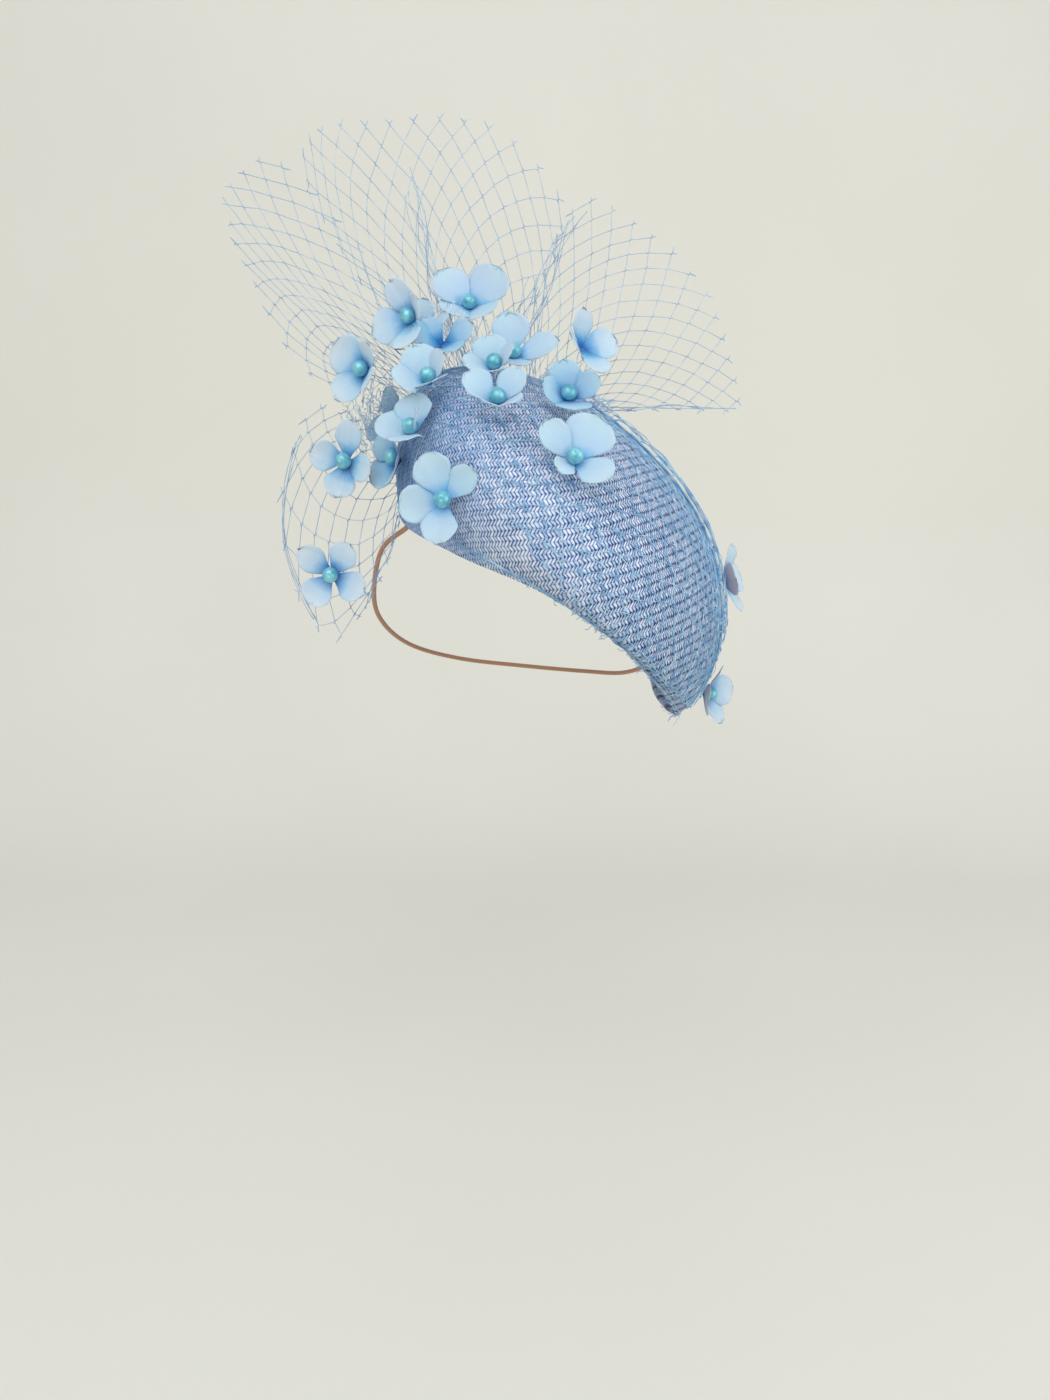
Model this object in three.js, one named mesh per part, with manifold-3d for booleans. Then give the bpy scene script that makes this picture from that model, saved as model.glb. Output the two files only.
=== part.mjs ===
import * as THREE from 'three';
import { mergeVertices } from 'three/addons/utils/BufferGeometryUtils.js';
import Module from 'manifold-3d';

// Percher fascinator: a teardrop base of woven straw worn tilted over one eye, with gathered fans of
// diamond veiling, fabric hydrangea flowers with pearl centres, and an elastic behind the head.
// Millimetres, +Z up, the wearer's face towards -Y and the wearer's left towards +X.
// The origin is the top of the head that the base sits on.

const wasm = await Module();
wasm.setup();

const { MathUtils, Vector3 } = THREE;

// Clearance between pieces that are sewn to each other
const seam = 0.35;

// Straw base: its radius at the rim, the height of its crown over the rim, and its wall
const baseRadius = 90;
const baseHeight = 83;
const strawWall = 2;

// Where the base sits on the head, which way its pointed tip runs and which way its crown stands
const baseCentre = new Vector3(18, -9.5, -84);
const tipDirection = new Vector3(0.81, -0.11, -0.58).normalize();
const crownDirection = new Vector3(0.54, -0.27, 0.8);

// The crown lies off the middle: towards the round end and towards the front, as shares of the radius
const crownTowardsEnd = 0.37;
const crownTowardsFront = 0.09;

// Sections of the base, around from the tip towards the back, in degrees. The shoulder is the widest
// line and the rim is the edge below it. Out is a share of the radius, up is a share of the height.
const baseSections = [
  { around: 0, shoulderOut: 1.02, shoulderUp: -0.12, rimOut: 1.0, rimUp: -0.22 },
  { around: 15, shoulderOut: 1.03, shoulderUp: -0.09, rimOut: 0.98, rimUp: -0.32 },
  { around: 30, shoulderOut: 1.04, shoulderUp: -0.01, rimOut: 0.95, rimUp: -0.33 },
  { around: 60, shoulderOut: 1.01, shoulderUp: 0.12, rimOut: 0.92, rimUp: -0.09 },
  { around: 90, shoulderOut: 1.05, shoulderUp: 0.28, rimOut: 0.95, rimUp: 0.13 },
  { around: 120, shoulderOut: 1.11, shoulderUp: 0.49, rimOut: 1.02, rimUp: 0.2 },
  { around: 150, shoulderOut: 1.19, shoulderUp: 0.57, rimOut: 1.06, rimUp: 0.08 },
  { around: 180, shoulderOut: 1.24, shoulderUp: 0.56, rimOut: 1.03, rimUp: -0.07 },
  { around: 210, shoulderOut: 1.25, shoulderUp: 0.57, rimOut: 1.01, rimUp: -0.07 },
  { around: 240, shoulderOut: 1.17, shoulderUp: 0.52, rimOut: 0.98, rimUp: 0.08 },
  { around: 270, shoulderOut: 1.08, shoulderUp: 0.4, rimOut: 0.93, rimUp: 0.22 },
  { around: 300, shoulderOut: 0.98, shoulderUp: 0.26, rimOut: 0.87, rimUp: 0.18 },
  { around: 330, shoulderOut: 0.95, shoulderUp: 0.08, rimOut: 0.89, rimUp: 0.01 },
  { around: 345, shoulderOut: 0.97, shoulderUp: -0.03, rimOut: 0.93, rimUp: -0.1 },
];

// Down runs from 0 at the crown to 1 at the rim, and passes the shoulder here
const shoulderDown = 0.75;

// Diamond veiling: its sheet, its bars, and the narrowest opening that stays open in the gathers
const netSheet = 1;
const netBar = 1.7;
const gatherShare = 0.78;

// Reach of each fan from where it is gathered on the base to its cut edge
const leftReach = 112;
const centreReach = 134;
const rightReach = 108;
const lowerReach = 78;

// Ribs of each fan, in order across it. Around and down say where a rib is sewn to the base. Lean is
// its angle from upright towards the wearer's left and back its angle towards the back, in degrees.
// Reach, swing and bow are shares of the fan's reach: its length, and its bend sideways and forwards.
const leftRibs = [
  { around: 192, down: 0.64, lean: -37, reach: 1.17, back: 4, swing: 0.07, bow: 0.10 },
  { around: 193, down: 0.66, lean: -47, reach: 1.17, back: 4, swing: 0.02, bow: 0.10 },
  { around: 194, down: 0.715, lean: -53, reach: 1.00, back: 4, swing: 0.01, bow: 0.08 },
  { around: 195, down: 0.76, lean: -60, reach: 0.75, back: 4, swing: 0.02, bow: 0.06 },
  { around: 196, down: 0.785, lean: -77, reach: 0.39, back: 2, swing: 0.06, bow: 0.04 },
];
const centreRibs = [
  { around: 187, down: 0.615, lean: -34, reach: 1.00, back: 14, swing: -0.05, bow: -0.05 },
  { around: 182, down: 0.585, lean: -28, reach: 1.09, back: 14, swing: -0.03, bow: 0.05 },
  { around: 177, down: 0.555, lean: -18, reach: 0.99, back: 10, swing: -0.03, bow: -0.07 },
  { around: 172, down: 0.525, lean: -6, reach: 1.02, back: 14, swing: -0.03, bow: 0.05 },
  { around: 167, down: 0.495, lean: 6, reach: 0.92, back: 12, swing: -0.01, bow: 0.00 },
  { around: 162, down: 0.465, lean: 23, reach: 0.68, back: 10, swing: 0.01, bow: -0.04 },
];
const rightRibs = [
  { around: 152, down: 0.365, lean: 24, reach: 0.94, back: 12, swing: -0.07, bow: -0.04 },
  { around: 144, down: 0.335, lean: 38, reach: 0.93, back: 12, swing: -0.08, bow: 0.05 },
  { around: 135, down: 0.305, lean: 55, reach: 0.87, back: 10, swing: -0.07, bow: 0.05 },
  { around: 126, down: 0.275, lean: 71, reach: 0.77, back: 8, swing: -0.04, bow: 0.00 },
  { around: 118, down: 0.24, lean: 89, reach: 0.72, back: 6, swing: -0.01, bow: -0.02 },
];
const lowerRibs = [
  { around: 199, down: 0.87, lean: -66, reach: 0.58, back: 4, swing: 0.03, bow: 0.05 },
  { around: 202, down: 0.9, lean: -94, reach: 0.69, back: 2, swing: 0.08, bow: 0.06 },
  { around: 204, down: 0.93, lean: -130, reach: 0.88, back: 0, swing: 0.07, bow: 0.06 },
  { around: 206, down: 0.96, lean: -153, reach: 0.99, back: 0, swing: 0.02, bow: 0.05 },
  { around: 209, down: 0.99, lean: -159, reach: 0.61, back: 0, swing: -0.02, bow: 0.03 },
];

// The veil draped over the tip side and the back of the base, and how far it puffs off the straw
const drapeFrom = { around: -22, down: 0.3 };
const drapeTo = { around: 104, down: 0.78 };
const drapeStand = 1.9;
const drapePuff = 2.2;

// Flowers: petal sizes, the button behind the pearl and the stitched stem. Each petal takes up its root
// angle to each side on the button, and its middle is longer than its sides by the point's share.
const petalLength = 18.5;
const petalWidth = 14.5;
const petalSheet = 0.9;
const petalRoot = 30;
const petalPoint = 0.07;
const buttonRadius = 2.6;
const buttonHeight = 1.6;
const stemRadius = 1.1;
const pearlRadius = 3.8;

// Petal rows from the button out: out and wide are shares of the petal's length and width, dip is how
// far its middle lies below its edges and curl how far the row lifts, as shares of its length.
const petalRows = [
  { out: 0.6, wide: 1, dip: 0.07, curl: 0.02 },
  { out: 1, wide: 0.62, dip: 0.03, curl: 0.1 },
];

// Each flower: the piece that it is sewn to, the place there (around and down on the base, column and
// row of a knot on a net), the centre's reach from there in millimetres, the way it faces (turned
// towards the wearer's left and tilted up, in degrees), the angles of its petals as seen from its
// front, the cup that they rise by, and its size.
const flowers = [
  {
    name: '01', on: 'centre', at: [7, 2], reach: [-2, -8, -3],
    face: [-4, 36], petals: [45, 137, 222, 314], cup: 26, size: 1.25,
  },
  {
    name: '02', on: 'left', at: [0, 1], reach: [3, -11, 4],
    face: [-36, 8], petals: [25, 118, 198, 285], cup: 22, size: 1.1,
  },
  {
    name: '03', on: 'left', at: [8, 3], reach: [1, -8, 3],
    face: [-40, 4], petals: [50, 143, 228, 318], cup: 24, size: 1.1,
  },
  {
    name: '04', on: 'lower', at: [2, 3], reach: [1, -9, 2],
    face: [-14, 0], petals: [-22, 78, 166, 256], cup: 14, size: 0.96,
  },
  {
    name: '05', on: 'lower', at: [4, 5], reach: [-2, -7, -2],
    face: [-4, 0], petals: [-28, 56, 142, 230], cup: 12, size: 1,
  },
  {
    name: '06', on: 'base', at: [221, 0.775], reach: [-5, -4, 1],
    face: [-26, 42], petals: [8, 100, 182, 272], cup: 38, size: 0.92,
  },
  {
    name: '07', on: 'base', at: [238, 0.835], reach: [-4, -5, -1],
    face: [-6, 0], petals: [30, 110, 190, 270], cup: 14, size: 1.02,
  },
  {
    name: '08', on: 'base', at: [213, 0.6], reach: [-4, -5, 4],
    face: [-20, 44], petals: [40, 125, 208, 304], cup: 36, size: 0.95,
  },
  {
    name: '09', on: 'base', at: [232, 0.47], reach: [1, -6, 6],
    face: [4, 46], petals: [40, 150, 232, 318], cup: 28, size: 1,
  },
  {
    name: '10', on: 'base', at: [195, 0.3], reach: [3, -2, 8],
    face: [8, 34], petals: [5, 95, 185, 275], cup: 26, size: 1.1,
  },
  {
    name: '11', on: 'base', at: [210, 0.355], reach: [1, -4, 5],
    face: [-14, 46], petals: [25, 112, 200, 290], cup: 36, size: 0.9,
  },
  {
    name: '12', on: 'right', at: [3, 2], reach: [-2, -9, -1],
    face: [46, 20], petals: [5, 95, 185, 275], cup: 28, size: 1.05,
  },
  {
    name: '13', on: 'base', at: [235, 0.18], reach: [3, -2, 5],
    face: [8, 34], petals: [15, 98, 182, 275], cup: 34, size: 0.92,
  },
  {
    name: '14', on: 'base', at: [260, 0.41], reach: [3, -5, 4],
    face: [6, 26], petals: [-26, 57, 137, 218], cup: 16, size: 1.08,
  },
  {
    name: '15', on: 'base', at: [212, 0.89], reach: [0, -2, 5],
    face: [-56, 4], petals: [50, 140, 225, 320], cup: 34, size: 0.8,
  },
  {
    name: '16', on: 'base', at: [38, 0.545], reach: [8, 2, 2],
    face: [72, 10], petals: [0, 90, 180, 270], cup: 24, size: 1.05,
  },
  {
    name: '17', on: 'base', at: [18, 0.8], reach: [7, 1, -4],
    face: [62, -6], petals: [10, 100, 190, 280], cup: 34, size: 1,
  },
  {
    name: '18', on: 'centre', at: [0, 1], reach: [3, -6, 7],
    face: [-20, 40], petals: [0, 90, 180, 270], cup: 30, size: 0.7,
  },
  {
    name: '19', on: 'base', at: [197, 0.565], reach: [1, -5, 12],
    face: [-5, 34], petals: [45, 135, 225, 315], cup: 30, size: 0.8,
  },
  {
    name: '20', on: 'base', at: [190, 0.84], reach: [-5, 0, 0],
    face: [-60, 20], petals: [20, 110, 200, 290], cup: 24, size: 0.85,
  },
];

// Flowers that show a pearl
const pearlFlowers = [
  '01', '02', '03', '04', '05', '06', '07', '08', '09', '10', '11', '13', '14', '15', '17',
];

// Elastic: a round cord from inside the round end, behind the head, to inside the tip
const elasticRadius = 1.25;
const elasticStart = { around: 212, down: 0.93 };
const elasticEnd = { around: 40, down: 0.9 };
const elasticPoints = [
  new Vector3(-72, -27, -64),
  new Vector3(-79, -10, -84),
  new Vector3(-80, 14, -101),
  new Vector3(-68, 54, -120),
  new Vector3(-40, 86, -132),
  new Vector3(0, 98, -138),
  new Vector3(38, 86, -140),
  new Vector3(58, 62, -138),
];

const colours = {
  straw: 0x9fb0d6,
  veil: 0xa9c3dc,
  petal: 0x9fcdf0,
  pearl: 0x4fb3bd,
  elastic: 0xb08d5a,
};

// A value of one column at any angle, smooth between the rows of the section table
function sectionValue(column, around) {
  const rows = baseSections.length;
  const angle = MathUtils.euclideanModulo(around, 360);
  let row = 0;
  while (row + 1 < rows && baseSections[row + 1].around <= angle) row += 1;
  const at = (k) => baseSections[(k + rows) % rows].around + 360 * Math.floor(k / rows);
  const value = (k) => baseSections[(k + rows) % rows][column];
  const slope = (k) => (value(k + 1) - value(k - 1)) / (at(k + 1) - at(k - 1));
  const step = at(row + 1) - at(row);
  const t = (angle - at(row)) / step;
  const s = 1 - t;
  return (1 + 2 * t) * s * s * value(row) + t * s * s * step * slope(row)
    + t * t * (3 - 2 * t) * value(row + 1) - t * t * s * step * slope(row + 1);
}

// A point of the base's outer face in the base's own axes: X to the tip, Y to the back, Z to the crown
function facePoint(around, down) {
  const shoulderOut = baseRadius * sectionValue('shoulderOut', around);
  const shoulderUp = baseHeight * sectionValue('shoulderUp', around);
  const rimOut = baseRadius * sectionValue('rimOut', around);
  const rimUp = baseHeight * sectionValue('rimUp', around);
  const bend = Math.min(down / shoulderDown, 1) * Math.PI / 2;
  const tuck = Math.max((down - shoulderDown) / (1 - shoulderDown), 0);
  const out = tuck > 0 ? shoulderOut - (shoulderOut - rimOut) * tuck * tuck : shoulderOut * Math.sin(bend);
  const up = tuck > 0 ? shoulderUp - (shoulderUp - rimUp) * tuck
    : shoulderUp + (baseHeight - shoulderUp) * Math.cos(bend);
  const lean = tuck > 0 ? 0 : 1 - Math.sin(bend);
  const angle = MathUtils.degToRad(around);
  return new Vector3(
    out * Math.cos(angle) - crownTowardsEnd * baseRadius * lean,
    out * Math.sin(angle) - crownTowardsFront * baseRadius * lean,
    up,
  );
}

// The outward direction there
function faceNormal(around, down) {
  if (down < 0.01) return new Vector3(0, 0, 1);
  const turn = 0.5;
  const step = 0.004;
  const across = facePoint(around + turn, down).sub(facePoint(around - turn, down));
  const along = facePoint(around, Math.min(down + step, 1)).sub(facePoint(around, down - step));
  return along.cross(across).normalize();
}

// A point that stands off the base's outer face
function basePoint(around, down, stand) {
  return facePoint(around, down).addScaledVector(faceNormal(around, down), stand);
}

const baseAxes = new THREE.Matrix4();
const upDirection = crownDirection.clone().addScaledVector(tipDirection, -crownDirection.dot(tipDirection));
upDirection.normalize();
baseAxes.makeBasis(tipDirection, upDirection.clone().cross(tipDirection), upDirection);
const baseTurn = new THREE.Quaternion().setFromRotationMatrix(baseAxes);

// The same in the object's axes
function seatPoint(around, down, stand) {
  return basePoint(around, down, stand).applyQuaternion(baseTurn).add(baseCentre);
}

function seatNormal(around, down) {
  return faceNormal(around, down).applyQuaternion(baseTurn);
}

function solidGeometry(points, faces) {
  const geometry = new THREE.BufferGeometry();
  geometry.setAttribute('position', new THREE.Float32BufferAttribute(points.flatMap((p) => p.toArray()), 3));
  geometry.setIndex(faces.flat());
  return geometry;
}

function toManifold(geometry) {
  const bare = geometry.clone();
  bare.deleteAttribute('normal');
  bare.deleteAttribute('uv');
  const merged = mergeVertices(bare, 1e-4);
  return new wasm.Manifold(new wasm.Mesh({
    numProp: 3,
    vertProperties: new Float32Array(merged.attributes.position.array),
    triVerts: new Uint32Array(merged.index.array),
  }));
}

function fromManifold(solid) {
  const mesh = solid.getMesh();
  const geometry = new THREE.BufferGeometry();
  geometry.setAttribute('position', new THREE.BufferAttribute(mesh.vertProperties, 3));
  geometry.setIndex(new THREE.BufferAttribute(mesh.triVerts, 1));
  return geometry;
}

function paint(name, geometry, colour, roughness) {
  geometry.computeVertexNormals();
  const material = new THREE.MeshStandardMaterial({ color: colour, roughness, metalness: 0 });
  const mesh = new THREE.Mesh(geometry, material);
  mesh.name = name;
  return mesh;
}

// The straw base: its outer face, its inner face one wall in, and the edge strip between them
function strawBase() {
  const turns = 36;
  const rings = 11;
  const points = [];
  const faces = [];
  const index = (layer, ring, turn) => layer + 1 + (ring - 1) * turns + (turn % turns);
  const layerSize = 1 + rings * turns;
  for (const depth of [0, -strawWall]) {
    points.push(basePoint(0, 0, depth));
    for (let ring = 1; ring <= rings; ring += 1) {
      for (let turn = 0; turn < turns; turn += 1) {
        points.push(basePoint((360 * turn) / turns, ring / rings, depth));
      }
    }
  }
  const quad = (a, b, c, d) => faces.push([a, b, c], [a, c, d]);
  for (let turn = 0; turn < turns; turn += 1) {
    faces.push([0, index(0, 1, turn), index(0, 1, turn + 1)]);
    faces.push([layerSize, index(layerSize, 1, turn + 1), index(layerSize, 1, turn)]);
    for (let ring = 1; ring < rings; ring += 1) {
      quad(
        index(0, ring, turn),
        index(0, ring + 1, turn),
        index(0, ring + 1, turn + 1),
        index(0, ring, turn + 1),
      );
      quad(
        index(layerSize, ring, turn + 1),
        index(layerSize, ring + 1, turn + 1),
        index(layerSize, ring + 1, turn),
        index(layerSize, ring, turn),
      );
    }
    quad(
      index(0, rings, turn),
      index(layerSize, rings, turn),
      index(layerSize, rings, turn + 1),
      index(0, rings, turn + 1),
    );
  }
  return solidGeometry(points, faces);
}

// A fan of veiling as a surface: across runs over its ribs and along runs from the gathers to the cut
function fanSurface(ribs, reach) {
  const column = (name, across) => {
    const x = MathUtils.clamp(across, 0, 1) * (ribs.length - 1);
    const row = Math.min(Math.floor(x), ribs.length - 2);
    const at = (k) => ribs[MathUtils.clamp(k, 0, ribs.length - 1)][name];
    const t = x - row;
    const s = 1 - t;
    const slopeA = (at(row + 1) - at(row - 1)) / (row > 0 ? 2 : 1);
    const slopeB = (at(row + 2) - at(row)) / (row + 2 < ribs.length ? 2 : 1);
    return (1 + 2 * t) * s * s * at(row) + t * s * s * slopeA
      + t * t * (3 - 2 * t) * at(row + 1) - t * t * s * slopeB;
  };
  return (across, along) => {
    const lean = MathUtils.degToRad(column('lean', across));
    const back = MathUtils.degToRad(column('back', across));
    const length = reach * column('reach', across) * along;
    const belly = 4 * along * (1 - along) * reach;
    const swing = belly * column('swing', across);
    const root = seatPoint(column('around', across), column('down', across), seam);
    root.x += length * Math.sin(lean) * Math.cos(back) + swing * Math.cos(lean);
    root.y += length * Math.sin(back) - belly * column('bow', across);
    root.z += length * Math.cos(lean) * Math.cos(back) - swing * Math.sin(lean);
    return root;
  };
}

// The drape as a surface: across runs around the base and along runs down it
function drapeSurface(across, along) {
  const puff = drapePuff * Math.sin(Math.PI * along) * Math.sin(Math.PI * MathUtils.clamp(across, 0, 1));
  return seatPoint(
    MathUtils.lerp(drapeFrom.around, drapeTo.around, across),
    MathUtils.lerp(drapeFrom.down, drapeTo.down, along),
    drapeStand + puff,
  );
}

function surfaceNormal(surface, across, along) {
  const step = 0.01;
  const u = surface(Math.min(across + step, 1), along).sub(surface(Math.max(across - step, 0), along));
  const v = surface(across, Math.min(along + step, 1)).sub(surface(across, Math.max(along - step, 0)));
  return u.cross(v).normalize();
}

// A sheet of diamond openings on a surface, with its edges cut along the diamonds. Knots lie where
// column plus row is odd, and each opening has a knot at each of its four corners.
function veilNet(surface, columns, rows) {
  const points = [];
  const faces = [];
  const knots = new Map();
  const edges = new Map();
  const addPair = (point, normal) => {
    points.push(point.clone().addScaledVector(normal, netSheet / 2));
    points.push(point.clone().addScaledVector(normal, -netSheet / 2));
    return points.length - 2;
  };
  const knot = (i, j) => {
    const key = `${i},${j}`;
    if (!knots.has(key)) {
      const across = i / (2 * columns);
      const along = j / (2 * rows);
      const point = surface(across, along);
      const normal = surfaceNormal(surface, across, along);
      knots.set(key, { point, normal, id: addPair(point, normal) });
    }
    return knots.get(key);
  };
  for (let i = 1; i < 2 * columns; i += 1) {
    for (let j = 1; j < 2 * rows; j += 1) {
      if ((i + j) % 2 === 1) continue;
      const corners = [knot(i - 1, j), knot(i, j - 1), knot(i + 1, j), knot(i, j + 1)];
      const middle = new Vector3();
      const normal = new Vector3();
      for (const corner of corners) {
        middle.addScaledVector(corner.point, 0.25);
        normal.add(corner.normal);
      }
      normal.normalize();
      let area = 0;
      let round = 0;
      for (let k = 0; k < 4; k += 1) {
        const a = corners[k].point.clone().sub(middle);
        const b = corners[(k + 1) % 4].point.clone().sub(middle);
        area += a.clone().cross(b).length() / 2;
        round += a.distanceTo(b);
      }
      const inset = (netBar / 2) / ((2 * area) / round);
      const open = inset < gatherShare;
      const inner = open
        ? corners.map((c) => addPair(c.point.clone().lerp(middle, inset), c.normal))
        : addPair(middle, normal);
      for (let k = 0; k < 4; k += 1) {
        const a = corners[k].id;
        const b = corners[(k + 1) % 4].id;
        if (open) {
          const c = inner[(k + 1) % 4];
          const d = inner[k];
          faces.push([a, b, c], [a, c, d]);
          faces.push([a + 1, c + 1, b + 1], [a + 1, d + 1, c + 1]);
          faces.push([d, c, c + 1], [d, c + 1, d + 1]);
        } else {
          faces.push([a, b, inner], [a + 1, inner + 1, b + 1]);
        }
        const back = `${b},${a}`;
        if (edges.has(back)) edges.delete(back);
        else edges.set(`${a},${b}`, [a, b]);
      }
    }
  }
  for (const [a, b] of edges.values()) faces.push([a, a + 1, b + 1], [a, b + 1, b]);
  return { geometry: solidGeometry(points, faces), knot };
}

// The petals of a flower facing +Z, with the button that they grow from, as one body. Each petal starts
// from a side of the button and widens to its rows, tilted up by the flower's cup.
function petalsSolid(flower) {
  const points = [];
  const faces = [];
  const quad = (a, b, c, d) => faces.push([a, b, c], [a, c, d]);
  const pair = (top, bottom) => {
    points.push(top, bottom);
    return points.length - 2;
  };
  const cup = MathUtils.degToRad(flower.cup);
  const roots = [];
  for (const petal of flower.petals) {
    for (const side of [-1, 1]) {
      const angle = MathUtils.degToRad(petal + side * petalRoot);
      const x = buttonRadius * Math.cos(angle);
      const y = buttonRadius * Math.sin(angle);
      roots.push(pair(new Vector3(x, y, buttonHeight / 2), new Vector3(x, y, -buttonHeight / 2)));
    }
  }
  const count = roots.length;
  for (let k = 1; k + 1 < count; k += 1) {
    faces.push([roots[0], roots[k], roots[k + 1]], [roots[0] + 1, roots[k + 1] + 1, roots[k] + 1]);
  }
  for (let k = 1; k < count; k += 2) {
    const next = roots[(k + 1) % count];
    quad(roots[k], roots[k] + 1, next + 1, next);
  }
  flower.petals.forEach((petal, k) => {
    const angle = MathUtils.degToRad(petal);
    let last = [roots[2 * k], roots[2 * k + 1]];
    for (const row of petalRows) {
      const out = petalLength * flower.size * row.out - buttonRadius;
      const half = petalWidth * flower.size * row.wide / 2;
      const ids = [-1, 0, 1].map((side) => {
        const along = side === 0 ? out * (1 + petalPoint) : out;
        const rise = petalLength * flower.size * (row.curl - (side === 0 ? row.dip : 0));
        const radial = buttonRadius + along * Math.cos(cup) - rise * Math.sin(cup);
        const height = along * Math.sin(cup) + rise * Math.cos(cup);
        const lift = (petalSheet / 2) * Math.cos(cup);
        const draw = (petalSheet / 2) * Math.sin(cup);
        const place = (r, h) => new Vector3(
          r * Math.cos(angle) - side * half * Math.sin(angle),
          r * Math.sin(angle) + side * half * Math.cos(angle),
          h,
        );
        return pair(place(radial - draw, height + lift), place(radial + draw, height - lift));
      });
      const first = last.length === 2;
      const [a, b, c] = first ? [last[0], null, last[1]] : last;
      if (first) {
        faces.push([a, ids[0], ids[1]], [a, ids[1], c], [c, ids[1], ids[2]]);
        faces.push([a + 1, ids[1] + 1, ids[0] + 1], [a + 1, c + 1, ids[1] + 1]);
        faces.push([c + 1, ids[2] + 1, ids[1] + 1]);
      } else {
        quad(a, ids[0], ids[1], b);
        quad(b, ids[1], ids[2], c);
        quad(a + 1, b + 1, ids[1] + 1, ids[0] + 1);
        quad(b + 1, c + 1, ids[2] + 1, ids[1] + 1);
      }
      quad(a, a + 1, ids[0] + 1, ids[0]);
      quad(c + 1, c, ids[2], ids[2] + 1);
      last = ids;
    }
    quad(last[0], last[0] + 1, last[1] + 1, last[1]);
    quad(last[1], last[1] + 1, last[2] + 1, last[2]);
  });
  return toManifold(solidGeometry(points, faces));
}

function rod(from, to, radius, sides) {
  const way = to.clone().sub(from);
  const geometry = new THREE.CylinderGeometry(radius, radius, way.length(), sides);
  const turn = new THREE.Quaternion().setFromUnitVectors(new Vector3(0, 1, 0), way.clone().normalize());
  geometry.applyQuaternion(turn);
  geometry.translate(...from.clone().add(to).multiplyScalar(0.5).toArray());
  return geometry;
}

// A flower in its own axes, facing +Z: its petals, the button and the stem down to its seat
function flowerGeometry(flower, foot) {
  const stem = toManifold(rod(foot, new Vector3(), stemRadius, 5));
  return fromManifold(petalsSolid(flower).add(stem));
}

// The elastic's way round the rim's edge: past the edge, in the line of the wall
function roundRim(around) {
  const past = facePoint(around, 1).sub(facePoint(around, 0.98)).setLength(2 * elasticRadius + seam);
  const point = basePoint(around, 1, -strawWall / 2).add(past);
  return point.applyQuaternion(baseTurn).add(baseCentre);
}

function elasticGeometry() {
  const inside = -(strawWall + 4 * seam + elasticRadius);
  const path = new THREE.CatmullRomCurve3([
    seatPoint(elasticStart.around, elasticStart.down, inside),
    seatPoint(elasticStart.around, 1, inside),
    roundRim(elasticStart.around),
    ...elasticPoints,
    roundRim(elasticEnd.around),
    seatPoint(elasticEnd.around, 1, inside),
    seatPoint(elasticEnd.around, elasticEnd.down, inside),
  ]);
  const section = new THREE.Shape();
  for (let k = 0; k < 8; k += 1) {
    const angle = (2 * Math.PI * k) / 8;
    const x = elasticRadius * Math.cos(angle);
    const y = elasticRadius * Math.sin(angle);
    if (k === 0) section.moveTo(x, y);
    else section.lineTo(x, y);
  }
  section.closePath();
  return new THREE.ExtrudeGeometry(section, { steps: 54, bevelEnabled: false, extrudePath: path });
}

const fascinator = new THREE.Group();

const base = new THREE.Group();
base.position.copy(baseCentre);
base.quaternion.copy(baseTurn);
base.add(paint('straw_base', strawBase(), colours.straw, 0.75));
fascinator.add(base);

const nets = {
  left: veilNet(fanSurface(leftRibs, leftReach), 4, 3),
  centre: veilNet(fanSurface(centreRibs, centreReach), 5, 4),
  right: veilNet(fanSurface(rightRibs, rightReach), 4, 4),
  lower: veilNet(fanSurface(lowerRibs, lowerReach), 3, 4),
  drape: veilNet(drapeSurface, 5, 3),
};
for (const [name, net] of Object.entries(nets)) {
  fascinator.add(paint(`veil_${name}`, net.geometry, colours.veil, 0.8));
}

for (const flower of flowers) {
  let seat;
  let away;
  let start;
  const reach = new Vector3(...flower.reach);
  if (flower.on === 'base') {
    seat = seatPoint(...flower.at, 0);
    away = seatNormal(...flower.at);
    start = seam / 2;
  } else {
    const knot = nets[flower.on].knot(...flower.at);
    seat = knot.point;
    away = knot.normal.clone();
    if (away.dot(reach) < 0) away.negate();
    start = netSheet / 2 + seam;
  }
  const [turn, tilt] = flower.face.map(MathUtils.degToRad);
  const face = new Vector3(Math.sin(turn) * Math.cos(tilt), -Math.cos(turn) * Math.cos(tilt), Math.sin(tilt));
  const group = new THREE.Group();
  group.position.copy(seat).add(reach);
  const side = new Vector3(Math.cos(turn), Math.sin(turn), 0);
  const axes = new THREE.Matrix4().makeBasis(side, face.clone().cross(side), face);
  group.quaternion.setFromRotationMatrix(axes);
  const slant = Math.sqrt(Math.max(0, 1 - (away.dot(reach) / reach.length()) ** 2));
  const foot = seat.clone().addScaledVector(away, start + stemRadius * slant).sub(group.position);
  foot.applyQuaternion(group.quaternion.clone().invert());
  group.add(paint(`flower_${flower.name}`, flowerGeometry(flower, foot), colours.petal, 0.85));
  if (pearlFlowers.includes(flower.name)) {
    const bead = new THREE.SphereGeometry(pearlRadius, 10, 6);
    const pearl = paint(`pearl_${flower.name}`, bead, colours.pearl, 0.25);
    pearl.position.z = buttonHeight / 2 + seam + pearlRadius;
    group.add(pearl);
  }
  fascinator.add(group);
}

fascinator.add(paint('elastic', elasticGeometry(), colours.elastic, 0.8));

export default fascinator;
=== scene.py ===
import math
import random
from functools import lru_cache

import bmesh
import bpy
from mathutils import Matrix, Vector, noise


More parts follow.
